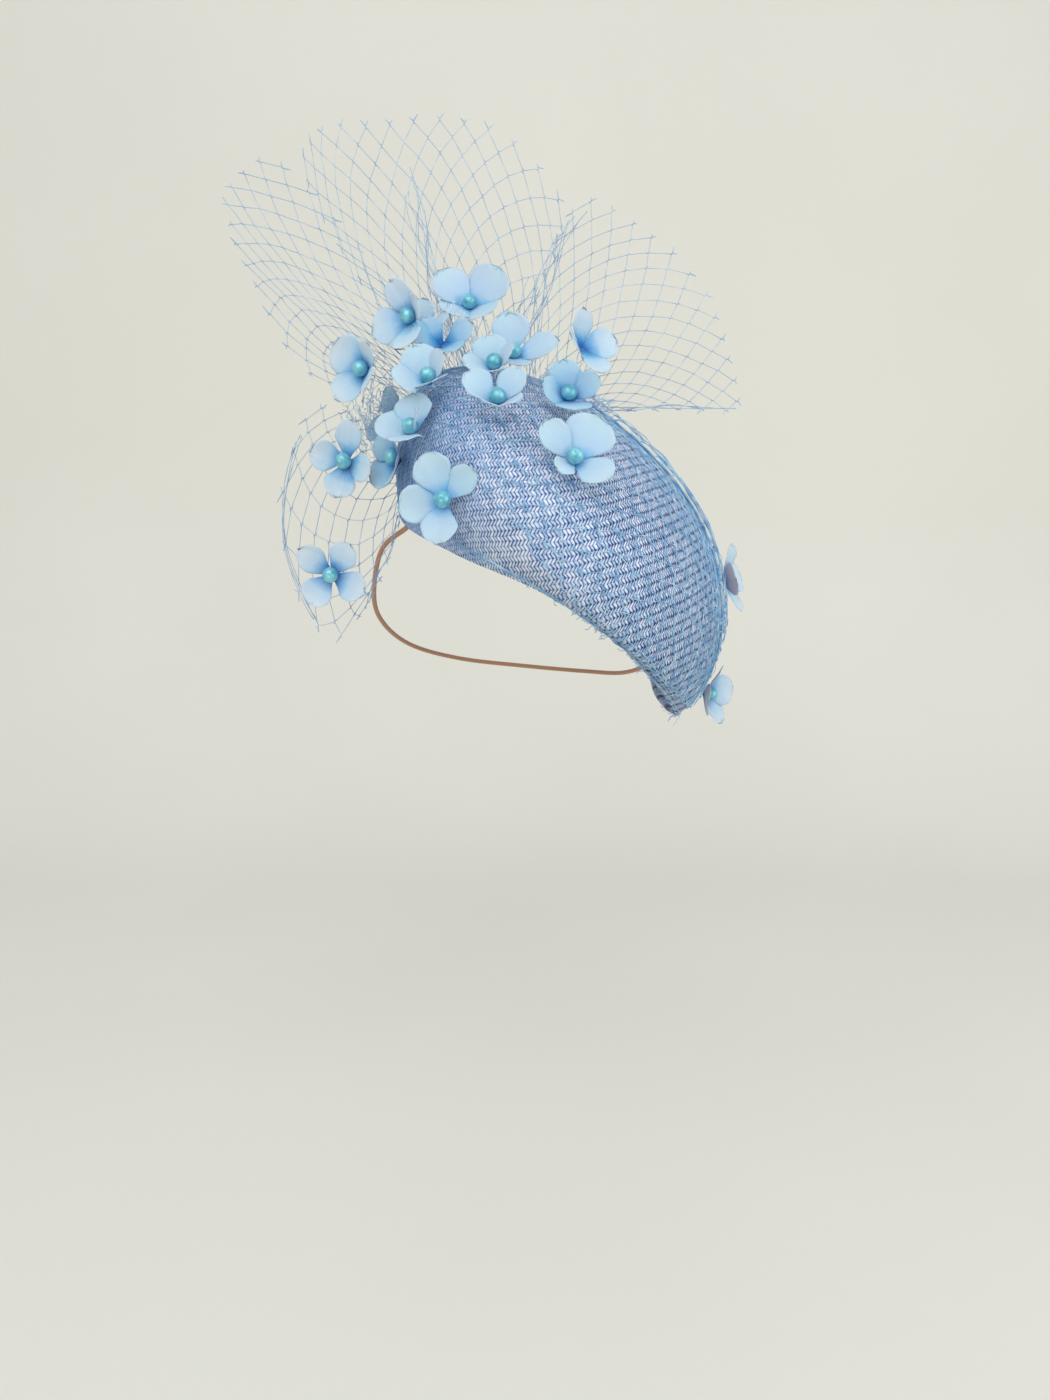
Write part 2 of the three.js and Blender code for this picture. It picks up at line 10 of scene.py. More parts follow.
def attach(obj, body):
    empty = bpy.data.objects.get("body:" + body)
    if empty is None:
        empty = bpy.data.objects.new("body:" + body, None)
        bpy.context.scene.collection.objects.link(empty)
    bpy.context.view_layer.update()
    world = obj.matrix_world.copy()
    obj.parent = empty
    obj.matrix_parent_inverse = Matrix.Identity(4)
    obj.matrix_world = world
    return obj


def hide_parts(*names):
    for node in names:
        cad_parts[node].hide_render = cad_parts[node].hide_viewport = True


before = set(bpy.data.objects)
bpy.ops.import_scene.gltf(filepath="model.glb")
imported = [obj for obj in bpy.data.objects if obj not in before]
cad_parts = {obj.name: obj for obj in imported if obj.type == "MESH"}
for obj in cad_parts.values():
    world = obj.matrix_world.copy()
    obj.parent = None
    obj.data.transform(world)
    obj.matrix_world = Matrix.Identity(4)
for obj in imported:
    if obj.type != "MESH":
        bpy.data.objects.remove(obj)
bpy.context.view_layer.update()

mm = 0.001
noise.seed_set(7)  # the vector noise takes its seed from the clock otherwise
print("frame loaded,", len(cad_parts), "nodes")


# The camera stands level with the brim, 0.6 m in front of it, and looks a little down
photoView = {"place": (0, -0.599, -0.060), "down": 8.13, "lens": 28.8, "sensor": 36}

cameraData = bpy.data.cameras.new("photoCamera")
cameraData.lens = photoView["lens"]
cameraData.sensor_width = photoView["sensor"]
cameraData.clip_start = 0.01
camera = bpy.data.objects.new("photoCamera", cameraData)
camera.location = photoView["place"]
camera.rotation_euler = (math.radians(90 - photoView["down"]), 0, 0)
bpy.context.scene.collection.objects.link(camera)
bpy.context.scene.camera = camera
bpy.context.scene.view_settings.view_transform = "Standard"


def linear(hexColour):
    parts = [int(hexColour[k:k + 2], 16) / 255 for k in (1, 3, 5)]
    return [c / 12.92 if c <= 0.04045 else ((c + 0.055) / 1.055) ** 2.4 for c in parts] + [1.0]


def startMaterial(name):
    material = bpy.data.materials.new(name)
    material.use_nodes = True
    tree = material.node_tree
    return material, tree, tree.nodes["Principled BSDF"]


def addNode(tree, kind, values=None, links=None, **settings):
    made = tree.nodes.new("ShaderNode" + kind)
    for name, value in settings.items():
        setattr(made, name, value)
    for key, value in (values or {}).items():
        made.inputs[key].default_value = value
    for key, socket in (links or {}).items():
        tree.links.new(socket, made.inputs[key])
    return made


def addMath(tree, operation, first, second=None, third=None):
    made = addNode(tree, "Math", operation=operation)
    for slot, value in enumerate((first, second, third)):
        if isinstance(value, (int, float)):
            made.inputs[slot].default_value = value
        elif value is not None:
            tree.links.new(value, made.inputs[slot])
    return made.outputs[0]


def addRamp(tree, factor, stops):
    ramp = addNode(tree, "ValToRGB", links={"Fac": factor})
    for k, (place, colour) in enumerate(stops):
        stop = ramp.color_ramp.elements[k] if k < 2 else ramp.color_ramp.elements.new(place)
        stop.position = place
        stop.color = linear(colour)
    return ramp.outputs["Color"]


def setShader(tree, shader, colour, bump, values):
    tree.links.new(colour, shader.inputs["Base Color"])
    if bump:
        tree.links.new(bump.outputs["Normal"], shader.inputs["Normal"])
    for name, value in values.items():
        shader.inputs[name].default_value = value


def newObject(name, mesh, material, slotName, *nodes):
    made = bpy.data.objects.new(name, mesh)
    bpy.context.scene.collection.objects.link(made)
    made.data.materials.clear()
    made.data.materials.append(material)
    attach(made, "root")
    if nodes:
        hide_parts(*nodes)
    return made


def shadeSmooth(mesh):
    for face in mesh.polygons:
        face.use_smooth = True


def closeMesh(name, grid):
    # The smooth mesh of a finished bmesh, which it frees
    mesh = bpy.data.meshes.new(name)
    grid.to_mesh(mesh)
    grid.free()
    shadeSmooth(mesh)
    return mesh


# The base's sizes, as in the CAD: a dome over a teardrop plan, with its crown towards the round end.
# Sections: around from the tip towards the back, shoulder out and up, rim out and up, as shares.
base = {
    "radius": 90 * mm, "height": 83 * mm, "wall": 2 * mm, "shoulderDown": 0.75,
    "centre": Vector((18, -9.5, -84)) * mm,
    "tip": Vector((0.81, -0.11, -0.58)), "crown": Vector((0.54, -0.27, 0.8)),
    "crownTowardsEnd": 0.37, "crownTowardsFront": 0.09,
    "sections": [
        (0, 1.02, -0.12, 1.0, -0.22), (15, 1.03, -0.09, 0.98, -0.32), (30, 1.04, -0.01, 0.95, -0.33),
        (60, 1.01, 0.12, 0.92, -0.09), (90, 1.05, 0.28, 0.95, 0.13), (120, 1.11, 0.49, 1.02, 0.2),
        (150, 1.19, 0.57, 1.06, 0.08), (180, 1.24, 0.56, 1.03, -0.07), (210, 1.25, 0.57, 1.01, -0.07),
        (240, 1.17, 0.52, 0.98, 0.08), (270, 1.08, 0.4, 0.93, 0.22), (300, 0.98, 0.26, 0.87, 0.18),
        (330, 0.95, 0.08, 0.89, 0.01), (345, 0.97, -0.03, 0.93, -0.1),
    ],
    "turns": 144, "outerRows": 84, "beadRows": 8, "innerRows": 28,
    "beadSwell": 0.7 * mm, "beadFrom": 0.93,
}

tipWay = base["tip"].normalized()
upWay = (base["crown"] - base["crown"].dot(tipWay) * tipWay).normalized()
baseTurn = Matrix((tipWay, upWay.cross(tipWay), upWay)).transposed()


def eased(values, slopeA, slopeB, step, t):
    # A smooth value between the two middle rows of four, from its slopes at them
    s = 1 - t
    return ((1 + 2 * t) * s * s * values[1] + t * s * s * step * slopeA
            + t * t * (3 - 2 * t) * values[2] - t * t * s * step * slopeB)


@lru_cache(maxsize=None)
def sectionAt(around):
    rows = base["sections"]
    count = len(rows)
    angle = around % 360
    row = max(k for k in range(count) if rows[k][0] <= angle)
    spots = [rows[(row + k) % count][0] + 360 * ((row + k) // count) for k in (-1, 0, 1, 2)]
    step = spots[2] - spots[1]
    t = (angle - spots[1]) / step
    found = []
    for column in range(1, 5):
        v = [rows[(row + k) % count][column] for k in (-1, 0, 1, 2)]
        slopeA = (v[2] - v[0]) / (spots[2] - spots[0])
        slopeB = (v[3] - v[1]) / (spots[3] - spots[1])
        found.append(eased(v, slopeA, slopeB, step, t))
    return found


def facePoint(around, down):
    section = sectionAt(round(around, 4))
    shoulderOut, rimOut = section[0] * base["radius"], section[2] * base["radius"]
    shoulderUp, rimUp = section[1] * base["height"], section[3] * base["height"]
    bend = min(down / base["shoulderDown"], 1) * math.pi / 2
    tuck = max((down - base["shoulderDown"]) / (1 - base["shoulderDown"]), 0)
    out = shoulderOut - (shoulderOut - rimOut) * tuck * tuck
    up = shoulderUp - (shoulderUp - rimUp) * tuck
    if tuck == 0:
        out = shoulderOut * math.sin(bend)
        up = shoulderUp + (base["height"] - shoulderUp) * math.cos(bend)
    lean = 1 - math.sin(bend)
    angle = math.radians(around)
    return Vector((
        out * math.cos(angle) - base["crownTowardsEnd"] * base["radius"] * lean,
        out * math.sin(angle) - base["crownTowardsFront"] * base["radius"] * lean,
        up,
    ))


def faceNormal(around, down):
    if down < 0.01:
        return Vector((0, 0, 1))
    across = facePoint(around + 0.5, down) - facePoint(around - 0.5, down)
    along = facePoint(around, min(down + 0.004, 1)) - facePoint(around, down - 0.004)
    return along.cross(across).normalized()


def seatPoint(around, down, stand):
    return baseTurn @ (facePoint(around, down) + faceNormal(around, down) * stand) + base["centre"]


def seatNormal(around, down):
    return baseTurn @ faceNormal(around, down)


def rimWay(around):
    # The way that the wall runs on past the rim
    return (facePoint(around, 1) - facePoint(around, 0.98)).normalized()


def smoothLine(points, steps, sharp=0.5):
    # A smooth line through the points, with its speed from their spacing
    ends = [points[0] * 2 - points[1], *points, points[-1] * 2 - points[-2]]
    line = []
    for k in range(1, len(ends) - 2):
        a, b, c, d = ends[k - 1:k + 3]
        ta = max((b - a).length, 1e-7) ** sharp
        tb = max((c - b).length, 1e-7) ** sharp
        tc = max((d - c).length, 1e-7) ** sharp
        slopeB = ((b - a) / ta - (c - a) / (ta + tb) + (c - b) / tb) * tb
        slopeC = ((c - b) / tb - (d - b) / (tb + tc) + (d - c) / tc) * tb
        for n in range(steps):
            t = n / steps
            s = 1 - t
            line.append((1 + 2 * t) * s * s * b + t * s * s * slopeB
                        + t * t * (3 - 2 * t) * c - t * t * s * slopeC)
    return line + [points[-1].copy()]


def tubes(name, lines, radius, sides=0):
    # Round threads or cords along lines of (point, share of the radius), joined as one mesh
    curve = bpy.data.curves.new(name, "CURVE")
    curve.dimensions = "3D"
    curve.bevel_depth = radius
    curve.bevel_resolution = sides
    curve.use_fill_caps = True
    for line in lines:
        spline = curve.splines.new("POLY")
        spline.points.add(len(line) - 1)
        for spot, (point, share) in zip(spline.points, line):
            spot.co = (*point, 1)
            spot.radius = share
    holder = bpy.data.objects.new(name, curve)
    mesh = bpy.data.meshes.new_from_object(holder)
    bpy.data.objects.remove(holder)
    bpy.data.curves.remove(curve)
    joined = bmesh.new()
    joined.from_mesh(mesh)
    bmesh.ops.remove_doubles(joined, verts=joined.verts, dist=1e-7)
    joined.to_mesh(mesh)
    joined.free()
    shadeSmooth(mesh)
    return mesh


# Elastic: the route of the CAD's cord, from inside the round end, behind the head, to inside the tip
elasticSizes = {
    "radius": 1.25 * mm, "seam": 0.35 * mm,
    "start": (212, 0.93), "end": (40, 0.9),
    "behind": [
        (-72, -27, -64), (-79, -10, -84), (-80, 14, -101), (-68, 54, -120),
        (-40, 86, -132), (0, 98, -138), (38, 86, -140), (58, 62, -138),
    ],
    "thread": 0.55 * mm, "tan": "#c29271", "deep": "#93654a",
}


def roundRim(around):
    past = rimWay(around) * (2 * elasticSizes["radius"] + elasticSizes["seam"])
    middle = facePoint(around, 1) - faceNormal(around, 1) * base["wall"] / 2
    return baseTurn @ (middle + past) + base["centre"]


def makeElastic():
    # Covered elastic is rubber in a knitted sleeve: matte, with fine ribs that run round it aslant
    material, tree, shader = startMaterial("knittedElastic")
    uv = addNode(tree, "UVMap", uv_map="UVMap")
    parts = addNode(tree, "SeparateXYZ", links={"Vector": uv.outputs["UV"]})
    inside = -(base["wall"] + 4 * elasticSizes["seam"] + elasticSizes["radius"])
    start, end = elasticSizes["start"], elasticSizes["end"]
    points = [
        seatPoint(*start, inside), seatPoint(start[0], 1, inside), roundRim(start[0]),
        *[Vector(p) * mm for p in elasticSizes["behind"]],
        roundRim(end[0]), seatPoint(end[0], 1, inside), seatPoint(*end, inside),
    ]
    path = smoothLine(points, 8)
    length = sum((b - a).length for a, b in zip(path, path[1:]))
    ribs = length / elasticSizes["thread"]
    along = addMath(tree, "MULTIPLY", parts.outputs["X"], ribs)
    slant = addMath(tree, "MULTIPLY_ADD", parts.outputs["Y"], 3, along)
    wave = addMath(tree, "PINGPONG", slant, 0.5)
    height = addMath(tree, "MULTIPLY", wave, 2)
    # Painted shade: the colour follows the ribs' height, darker down in the grooves between them
    colour = addRamp(tree, height, [(0.1, elasticSizes["deep"]), (0.75, elasticSizes["tan"])])
    bump = addNode(tree, "Bump", {"Strength": 0.6, "Distance": 0.15 * mm}, {"Height": height})
    setShader(tree, shader, colour, bump, {"Roughness": 0.75, "Sheen Weight": 0.2})
    mesh = tubes("elastic_cord", [[(p, 1) for p in path]], elasticSizes["radius"], 3)
    made = newObject("elastic_cord", mesh, material, "elastic", "elastic")
    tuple(points[0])


makeElastic()
print("camera and elastic made")


# Floor and light: a pale sweep behind and below, a large soft window in front and a soft sky
studio = {
    "floor": -0.43, "wide": 4.0, "front": -2.2, "back": 1.1, "sweep": 0.5, "rise": 1.8,
    "paper": "#dfded5", "paperShade": "#dcdbd2", "sky": "#f1f3f5", "skyPower": 0.79,
    "keyPlace": (-0.4, -1.4, 1.0), "keySize": 2.0, "keyPower": 19,
    "fillPlace": (1.3, -0.8, 0.2), "fillSize": 1.2, "fillPower": 7.6,
    "aim": (0, 0, -0.02),
}


def makeStudio():
    sheet = bmesh.new()
    bmesh.ops.create_grid(sheet, x_segments=1, y_segments=60, size=1)
    front = studio["front"]
    bend = studio["sweep"] * math.pi / 2
    flat = studio["back"] - studio["sweep"] - front
    total = flat + bend + studio["rise"]
    for vert in sheet.verts:
        run = (vert.co.y + 1) / 2 * total
        angle = min(max((run - flat) / studio["sweep"], 0), math.pi / 2)
        rise = max(run - flat - bend, 0)
        vert.co = Vector((
            vert.co.x * studio["wide"],
            front + min(run, flat) + studio["sweep"] * math.sin(angle),
            studio["floor"] + studio["sweep"] * (1 - math.cos(angle)) + rise,
        ))
    mesh = closeMesh("studio_sweep", sheet)
    # Seamless backdrop paper is matte, with only a faint unevenness
    material, tree, shader = startMaterial("backdropPaper")
    place = addNode(tree, "TexCoord")
    grain = addNode(tree, "TexNoise", {"Scale": 3.0}, {"Vector": place.outputs["Object"]})
    colour = addRamp(tree, grain.outputs["Fac"], [(0.3, studio["paperShade"]), (0.7, studio["paper"])])
    setShader(tree, shader, colour, None, {"Roughness": 0.95})
    sweep = bpy.data.objects.new("studio_sweep", mesh)
    sweep.data.materials.append(material)
    bpy.context.scene.collection.objects.link(sweep)
    world = bpy.data.worlds.new("softSky")
    world.use_nodes = True
    sky = world.node_tree.nodes["Background"]
    sky.inputs["Color"].default_value = linear(studio["sky"])
    sky.inputs["Strength"].default_value = studio["skyPower"]
    bpy.context.scene.world = world
    for name in ("key", "fill"):
        light = bpy.data.lights.new(name + "Window", "AREA")
        light.size = studio[name + "Size"]
        light.energy = studio[name + "Power"]
        lamp = bpy.data.objects.new(name + "Window", light)
        lamp.location = studio[name + "Place"]
        aim = Vector(studio["aim"]) - Vector(studio[name + "Place"])
        lamp.rotation_euler = aim.to_track_quat("-Z", "Y").to_euler()
        bpy.context.scene.collection.objects.link(lamp)


makeStudio()
print("studio made")


# The straw's weave: a herringbone in rows that run level across the front and rise to the wearer's left,
# each line a share of slope, where it starts and how softly
weave = {
    "top": 33 * mm, "bend": 100 * mm, "middle": (15 * mm, 25 * mm),
    "riseEnd": (0.42, -38 * mm, 8 * mm), "riseTip": (0.36, 18 * mm, 14 * mm),
    "row": 4.7 * mm, "strands": 500, "slant": 0.85, "rowDrift": 1.6, "strandDrift": 1.2,
    "strandEdge": 0.36, "bandEdge": 0.4, "bandDip": 0.36, "uneven": 0.28,
    "seamFrom": 10 * mm, "seamTo": 70 * mm, "seamEdge": 1.9, "seamLeast": 0.1, "seamMore": 0.56,
    "gapShade": "#1b3560", "shade": "#6b89ba", "strand": "#b9c5dc", "bright": "#dde1ec",
    "tulleAndShade": "#3f80bf", "tulleAndShadeFrom": -12 * mm, "tulleAndShadeTo": -58 * mm, "tulleAndShadeShare": 0.62,
}


def softRamp(x):
    return math.log1p(math.exp(min(x, 50)))


def weaveAt(point):
    # Turns about the crown, and the way down the straw from its top
    slope, start, blend = weave["riseEnd"]
    lift = -slope * blend * softRamp((start - point.x) / blend)
    slope, start, blend = weave["riseTip"]
    lift += slope * blend * softRamp((point.x - start) / blend)
    drop = max(weave["top"] - point.z + lift, 0)
    bend = weave["bend"]
    run = bend * math.acos(1 - drop / bend) if drop < bend else bend * math.pi / 2 + drop - bend
    turn = math.atan2(point.x - weave["middle"][0], weave["middle"][1] - point.y)
    return turn / (2 * math.pi), -run


def strawMaterial():
    # Blocked straw: flat lavender strands with narrow gaps; painted shade darkens the strands towards the
    # gaps and a painted highlight lightens their tops
    material, tree, shader = startMaterial("wovenStraw")
    uv = addNode(tree, "UVMap", uv_map="weave")
    place = addNode(tree, "TexCoord")
    where = addNode(tree, "SeparateXYZ", links={"Vector": place.outputs["Object"]})
    uneven = addNode(tree, "TexNoise", {"Scale": 70.0, "Detail": 2.0}, {"Vector": place.outputs["Object"]})
    parts = addNode(tree, "SeparateXYZ", links={"Vector": uv.outputs["UV"]})
    shift = addMath(tree, "MULTIPLY_ADD", uneven.outputs["Fac"], weave["rowDrift"], parts.outputs["Y"])
    rows = addMath(tree, "DIVIDE", shift, weave["row"] / mm)
    zigzag = addMath(tree, "MULTIPLY", addMath(tree, "PINGPONG", rows, 0.5), 2)
    wander = addMath(tree, "MULTIPLY_ADD", uneven.outputs["Fac"], weave["strandDrift"],
                     addMath(tree, "MULTIPLY", parts.outputs["X"], weave["strands"]))
    strandPlace = addMath(tree, "MULTIPLY_ADD", zigzag, weave["slant"], wander)
    across = addMath(tree, "MULTIPLY", addMath(tree, "PINGPONG", strandPlace, 0.5), 2)
    strandHeight = addMath(tree, "POWER", across, weave["strandEdge"])
    halfRow = addMath(tree, "MULTIPLY", rows, 2)
    bandMiddle = addMath(tree, "MULTIPLY", addMath(tree, "PINGPONG", halfRow, 0.5), 2)
    bandRound = addMath(tree, "POWER", bandMiddle, weave["bandEdge"])
    bandHeight = addMath(tree, "MULTIPLY_ADD", bandRound, weave["bandDip"], 1 - weave["bandDip"])
    height = addMath(tree, "MULTIPLY", strandHeight, bandHeight)
    # Towards the tip every second seam between the rows stands open, darkened there by painted shade
    tipward = addNode(tree, "MapRange", {"From Min": weave["seamFrom"], "From Max": weave["seamTo"]},
                      {"Value": where.outputs["X"]})
    seamShade = addMath(tree, "POWER", addMath(tree, "SUBTRACT", 1, zigzag), weave["seamEdge"])
    seamShade = addMath(tree, "MULTIPLY", seamShade, addMath(tree, "SUBTRACT", 1.3, across))
    seamDepth = addMath(tree, "MULTIPLY_ADD", tipward.outputs["Result"], weave["seamMore"],
                        weave["seamLeast"])
    height = addMath(tree, "SUBTRACT", height, addMath(tree, "MULTIPLY", seamShade, seamDepth))
    cell = addNode(tree, "CombineXYZ", links={
        "X": addMath(tree, "FLOOR", strandPlace), "Y": addMath(tree, "FLOOR", halfRow)})
    chance = addNode(tree, "TexWhiteNoise", links={"Vector": cell.outputs["Vector"]},
                     noise_dimensions="3D")
    mixed = addMath(tree, "MULTIPLY_ADD", addMath(tree, "SUBTRACT", chance.outputs["Value"], 0.5),
                    weave["uneven"], height)
    # Painted shade and highlight: the colour follows the weave's height, darkest in the gaps, lightest on the
    # strands' tops, with a random tone per strand
    colour = addRamp(tree, mixed, [
        (0.2, weave["gapShade"]), (0.5, weave["shade"]), (0.7, weave["strand"]), (0.96, weave["bright"])])
    # The round end is painted a deeper blue, partly for the doubled veiling over it and partly as painted
    # shade under the flowers
    endward = addNode(tree, "MapRange", {"From Min": weave["tulleAndShadeFrom"], "From Max": weave["tulleAndShadeTo"],
                                         "To Max": weave["tulleAndShadeShare"]},
                      {"Value": where.outputs["X"]})
    veiledAndShaded = addNode(tree, "Mix", {7: linear(weave["tulleAndShade"])}, {0: endward.outputs["Result"], 6: colour},
                     data_type="RGBA")
    fibre = addNode(tree, "TexNoise", {"Scale": 1400.0, "Detail": 1.0}, {"Vector": place.outputs["Object"]})
    relief = addMath(tree, "MULTIPLY_ADD", fibre.outputs["Fac"], 0.25, height)
    bump = addNode(tree, "Bump", {"Strength": 0.9, "Distance": 0.4 * mm}, {"Height": relief})
    setShader(tree, shader, veiledAndShaded.outputs[2], bump, {
        "Roughness": 0.76, "Specular IOR Level": 0.35, "Sheen Weight": 0.1})
    return material


def rimSwell(down):
    # The wall thickens towards the rolled bead of the rim
    return base["beadSwell"] * max(0, (down - base["beadFrom"]) / (1 - base["beadFrom"])) ** 2


def makeBase():
    rowsInAll = base["outerRows"] + base["beadRows"] + base["innerRows"]
    grid = bmesh.new()
    bmesh.ops.create_grid(grid, x_segments=base["turns"], y_segments=rowsInAll, size=1)
    weaveUv = grid.loops.layers.uv.new("weave")
    spots = {}
    for vert in grid.verts:
        around = 180 * (vert.co.x + 1)
        row = round((vert.co.y + 1) / 2 * rowsInAll)
        if row <= base["outerRows"]:
            down = row / base["outerRows"]
            point = seatPoint(around, down, rimSwell(down))
        elif row < base["outerRows"] + base["beadRows"]:
            down = 1
            turn = math.pi * (row - base["outerRows"]) / base["beadRows"]
            normal = faceNormal(around, 1)
            reach = base["wall"] / 2 + base["beadSwell"]
            bead = facePoint(around, 1) - normal * base["wall"] / 2
            bead += (normal * math.cos(turn) + rimWay(around) * math.sin(turn)) * reach
            point = baseTurn @ bead + base["centre"]
        else:
            down = (rowsInAll - row) / base["innerRows"]
            point = seatPoint(around, down, -base["wall"] - rimSwell(down))
        spots[vert] = weaveAt(seatPoint(around, down, 0))
        vert.co = point
    for face in grid.faces:
        middle = spots[face.loops[0].vert][0]
        for loop in face.loops:
            turn, height = spots[loop.vert]
            turn -= round(turn - middle)
            loop[weaveUv].uv = (turn, height / mm)
    bmesh.ops.remove_doubles(grid, verts=grid.verts, dist=1e-6)
    bmesh.ops.recalc_face_normals(grid, faces=grid.faces)
    newObject("straw_dome", closeMesh("straw_dome", grid), strawMaterial(), "straw", "straw_base")


makeBase()
print("straw base made")


# Veiling: the fans' ribs are the CAD's. Rows are around, down, lean, reach, back, swing and bow. The
# fine net has its own columns and rows, and the CAD's are kept for the knots that flowers are sewn to.
fans = {
    "left": {
        "reach": 112 * mm, "cad": (4, 3), "net": (11, 7), "rolls": [],
        "ribs": [
            (192, 0.64, -37, 1.17, 4, 0.07, 0.10), (193, 0.66, -47, 1.17, 4, 0.02, 0.10),
            (194, 0.715, -53, 1.00, 4, 0.01, 0.08), (195, 0.76, -60, 0.75, 4, 0.02, 0.06),
            (196, 0.785, -77, 0.39, 2, 0.06, 0.04),
        ],
    },
    "centre": {
        "reach": 134 * mm, "cad": (5, 4), "net": (13, 7), "pleat": (0.46, 0.2, 0.85),
        "rolls": [("rib", 0.46, 7, 5, (0.02, 0.84)), ("rib", 0.97, 5, 4.0, (0.02, 0.6))],
        "ribs": [
            (187, 0.615, -34, 1.00, 14, -0.05, -0.05), (182, 0.585, -28, 1.09, 14, -0.03, 0.05),
            (177, 0.555, -18, 0.99, 10, -0.03, -0.07), (172, 0.525, -6, 1.02, 14, -0.03, 0.05),
            (167, 0.495, 6, 0.92, 12, -0.01, 0.00), (162, 0.465, 23, 0.68, 10, 0.01, -0.04),
        ],
    },
    "right": {
        "reach": 108 * mm, "cad": (4, 4), "net": (12, 6), "past": 0.12,
        "rolls": [("rib", 0.03, 7, 5, (0, 1)), ("rib", 0.985, 3, 1.2, (0, 1))],
        "ribs": [
            (152, 0.365, 24, 0.94, 12, -0.07, -0.04), (144, 0.335, 38, 0.93, 12, -0.08, 0.05),
            (135, 0.305, 55, 0.87, 10, -0.07, 0.05), (126, 0.275, 71, 0.77, 8, -0.04, 0.00),
            (118, 0.24, 89, 0.72, 6, -0.01, -0.02),
        ],
    },
    "lower": {
        "reach": 78 * mm, "cad": (3, 4), "net": (8, 5),
        "rolls": [("hem", 0.985, 3, 1.8, (0.12, 0.8)), ("rib", 0.98, 2, 1.5, (0, 1))],
        "ribs": [
            (199, 0.87, -66, 0.58, 4, 0.03, 0.05), (202, 0.9, -94, 0.69, 2, 0.08, 0.06),
            (204, 0.93, -130, 0.88, 0, 0.07, 0.06), (206, 0.96, -153, 0.99, 0, 0.02, 0.05),
            (209, 0.99, -159, 0.61, 0, -0.02, 0.03),
        ],
    },
}
thread = {
    "radius": 0.19 * mm, "knotShare": 1.75, "twist": 0.6 * mm, "seam": 0.35 * mm, "crinkle": 1.7 * mm,
    "cover": 0.31,
    "shade": "#7d9fc2", "thread": "#98b6d3", "knot": "#bccfe0",
    "tightShade": "#649fd0", "tight": "#90bfe0", "tightBright": "#c8dfee", "crinkled": "#e6eef4",
}
# Where the gathered veiling shows crinkled between the flowers: middle, the way it runs, long, wide, threads
gathers = {
    "left": [((-76, -26, 14), (0.2, 0, 1), 26, 10, 26), ((-72, -24, 2), (-0.5, -0.3, 0.8), 24, 8, 16)],
    "centre": [((-44, -16, 46), (0.3, 0, 1), 28, 10, 30), ((-28, -10, 40), (-0.2, 0, 1), 22, 9, 20)],
    "right": [((14, -9, 20), (0.7, 0.1, 0.7), 24, 9, 34), ((34, -5, 9), (0.9, 0, -0.35), 22, 5, 30)],
    "lower": [((-80, -24, -6), (-0.3, -0.1, 1), 26, 8, 20)],
}


def fanPoint(fan, across, along):
    if across < 0:
        edge = fanPoint(fan, 0, along)
        return edge + (edge - fanPoint(fan, 0.05, along)) * (-across / 0.05)
    ribs = fan["ribs"]
    x = min(max(across, 0), 1) * (len(ribs) - 1)
    row = min(int(x), len(ribs) - 2)
    t = x - row
    last = len(ribs) - 1
    found = []
    for column in range(7):
        v = [ribs[min(max(row + k, 0), last)][column] for k in (-1, 0, 1, 2)]
        slopeA = (v[2] - v[0]) / (2 if row > 0 else 1)
        slopeB = (v[3] - v[1]) / (2 if row + 2 <= last else 1)
        found.append(eased(v, slopeA, slopeB, 1, t))
    around, down, lean, reach, back, swing, bow = found
    lean, back = math.radians(lean), math.radians(back)
    length = fan["reach"] * reach * along
    belly = 4 * along * (1 - along) * fan["reach"]
    return seatPoint(around, down, thread["seam"]) + Vector((
        length * math.sin(lean) * math.cos(back) + belly * swing * math.cos(lean),
        length * math.sin(back) - belly * bow,
        length * math.cos(lean) * math.cos(back) - belly * swing * math.sin(lean),
    ))


def wobble(chance, size):
    return Vector([chance.uniform(-1, 1) for _ in range(3)]) * size


def netChains(knots):
    # The threads of a diamond net as lists of knots, first those that climb and then those that fall
    for slope in (1, -1):
        for i, j in [key for key in knots if (key[0] - 1, key[1] - slope) not in knots]:
            chain = []
            while (i, j) in knots:
                chain.append((i, j))
                i, j = i + 1, j + slope
            if len(chain) > 1:
                yield slope, chain


def netLines(surface, columns, rows, chance, loose=0.1 * mm, jitter=0.35 * mm, ends=(0.15, 0.45)):
    # Threads of a diamond net on a surface. Two threads run side by side for a short way at each knot,
    # and those that the cut edge crosses end in short tails.
    def spot(i, j):
        return surface(i / (2 * columns), j / (2 * rows))

    knots = {}
    for i in range(2 * columns + 1):
        for j in range(2 * rows + 1):
            if (i + j) % 2:
                knots[i, j] = spot(i, j) + wobble(chance, jitter)
    lines = []
    for slope, chain in netChains(knots):
        line = []
        for n, (a, b) in enumerate(chain):
            point = knots[a, b]
            ahead = spot(a, min(b + 0.5, 2 * rows)) - spot(a, max(b - 0.5, 0))
            twist = ahead.normalized() * min(thread["twist"], ahead.length * 0.4) * slope
            line += [(point - twist, thread["knotShare"]), (point + twist, thread["knotShare"])]
            if n + 1 < len(chain):
                after = knots[chain[n + 1]]
                for share in (0.12, 0.5, 0.88):
                    line.append((point.lerp(after, share) + wobble(chance, loose), 0.85))
        for end in (0, -1):
            a, b = chain[end]
            if b == 2 * rows or a in (0, 2 * columns):
                inner = knots[chain[1 if end == 0 else -2]]
                outward = (knots[a, b] - inner) * chance.uniform(*ends)
                tail = (knots[a, b] + outward + wobble(chance, 0.4 * mm), 0.8)
                line = [tail, *line] if end == 0 else [*line, tail]
        lines.append(line)
    return lines


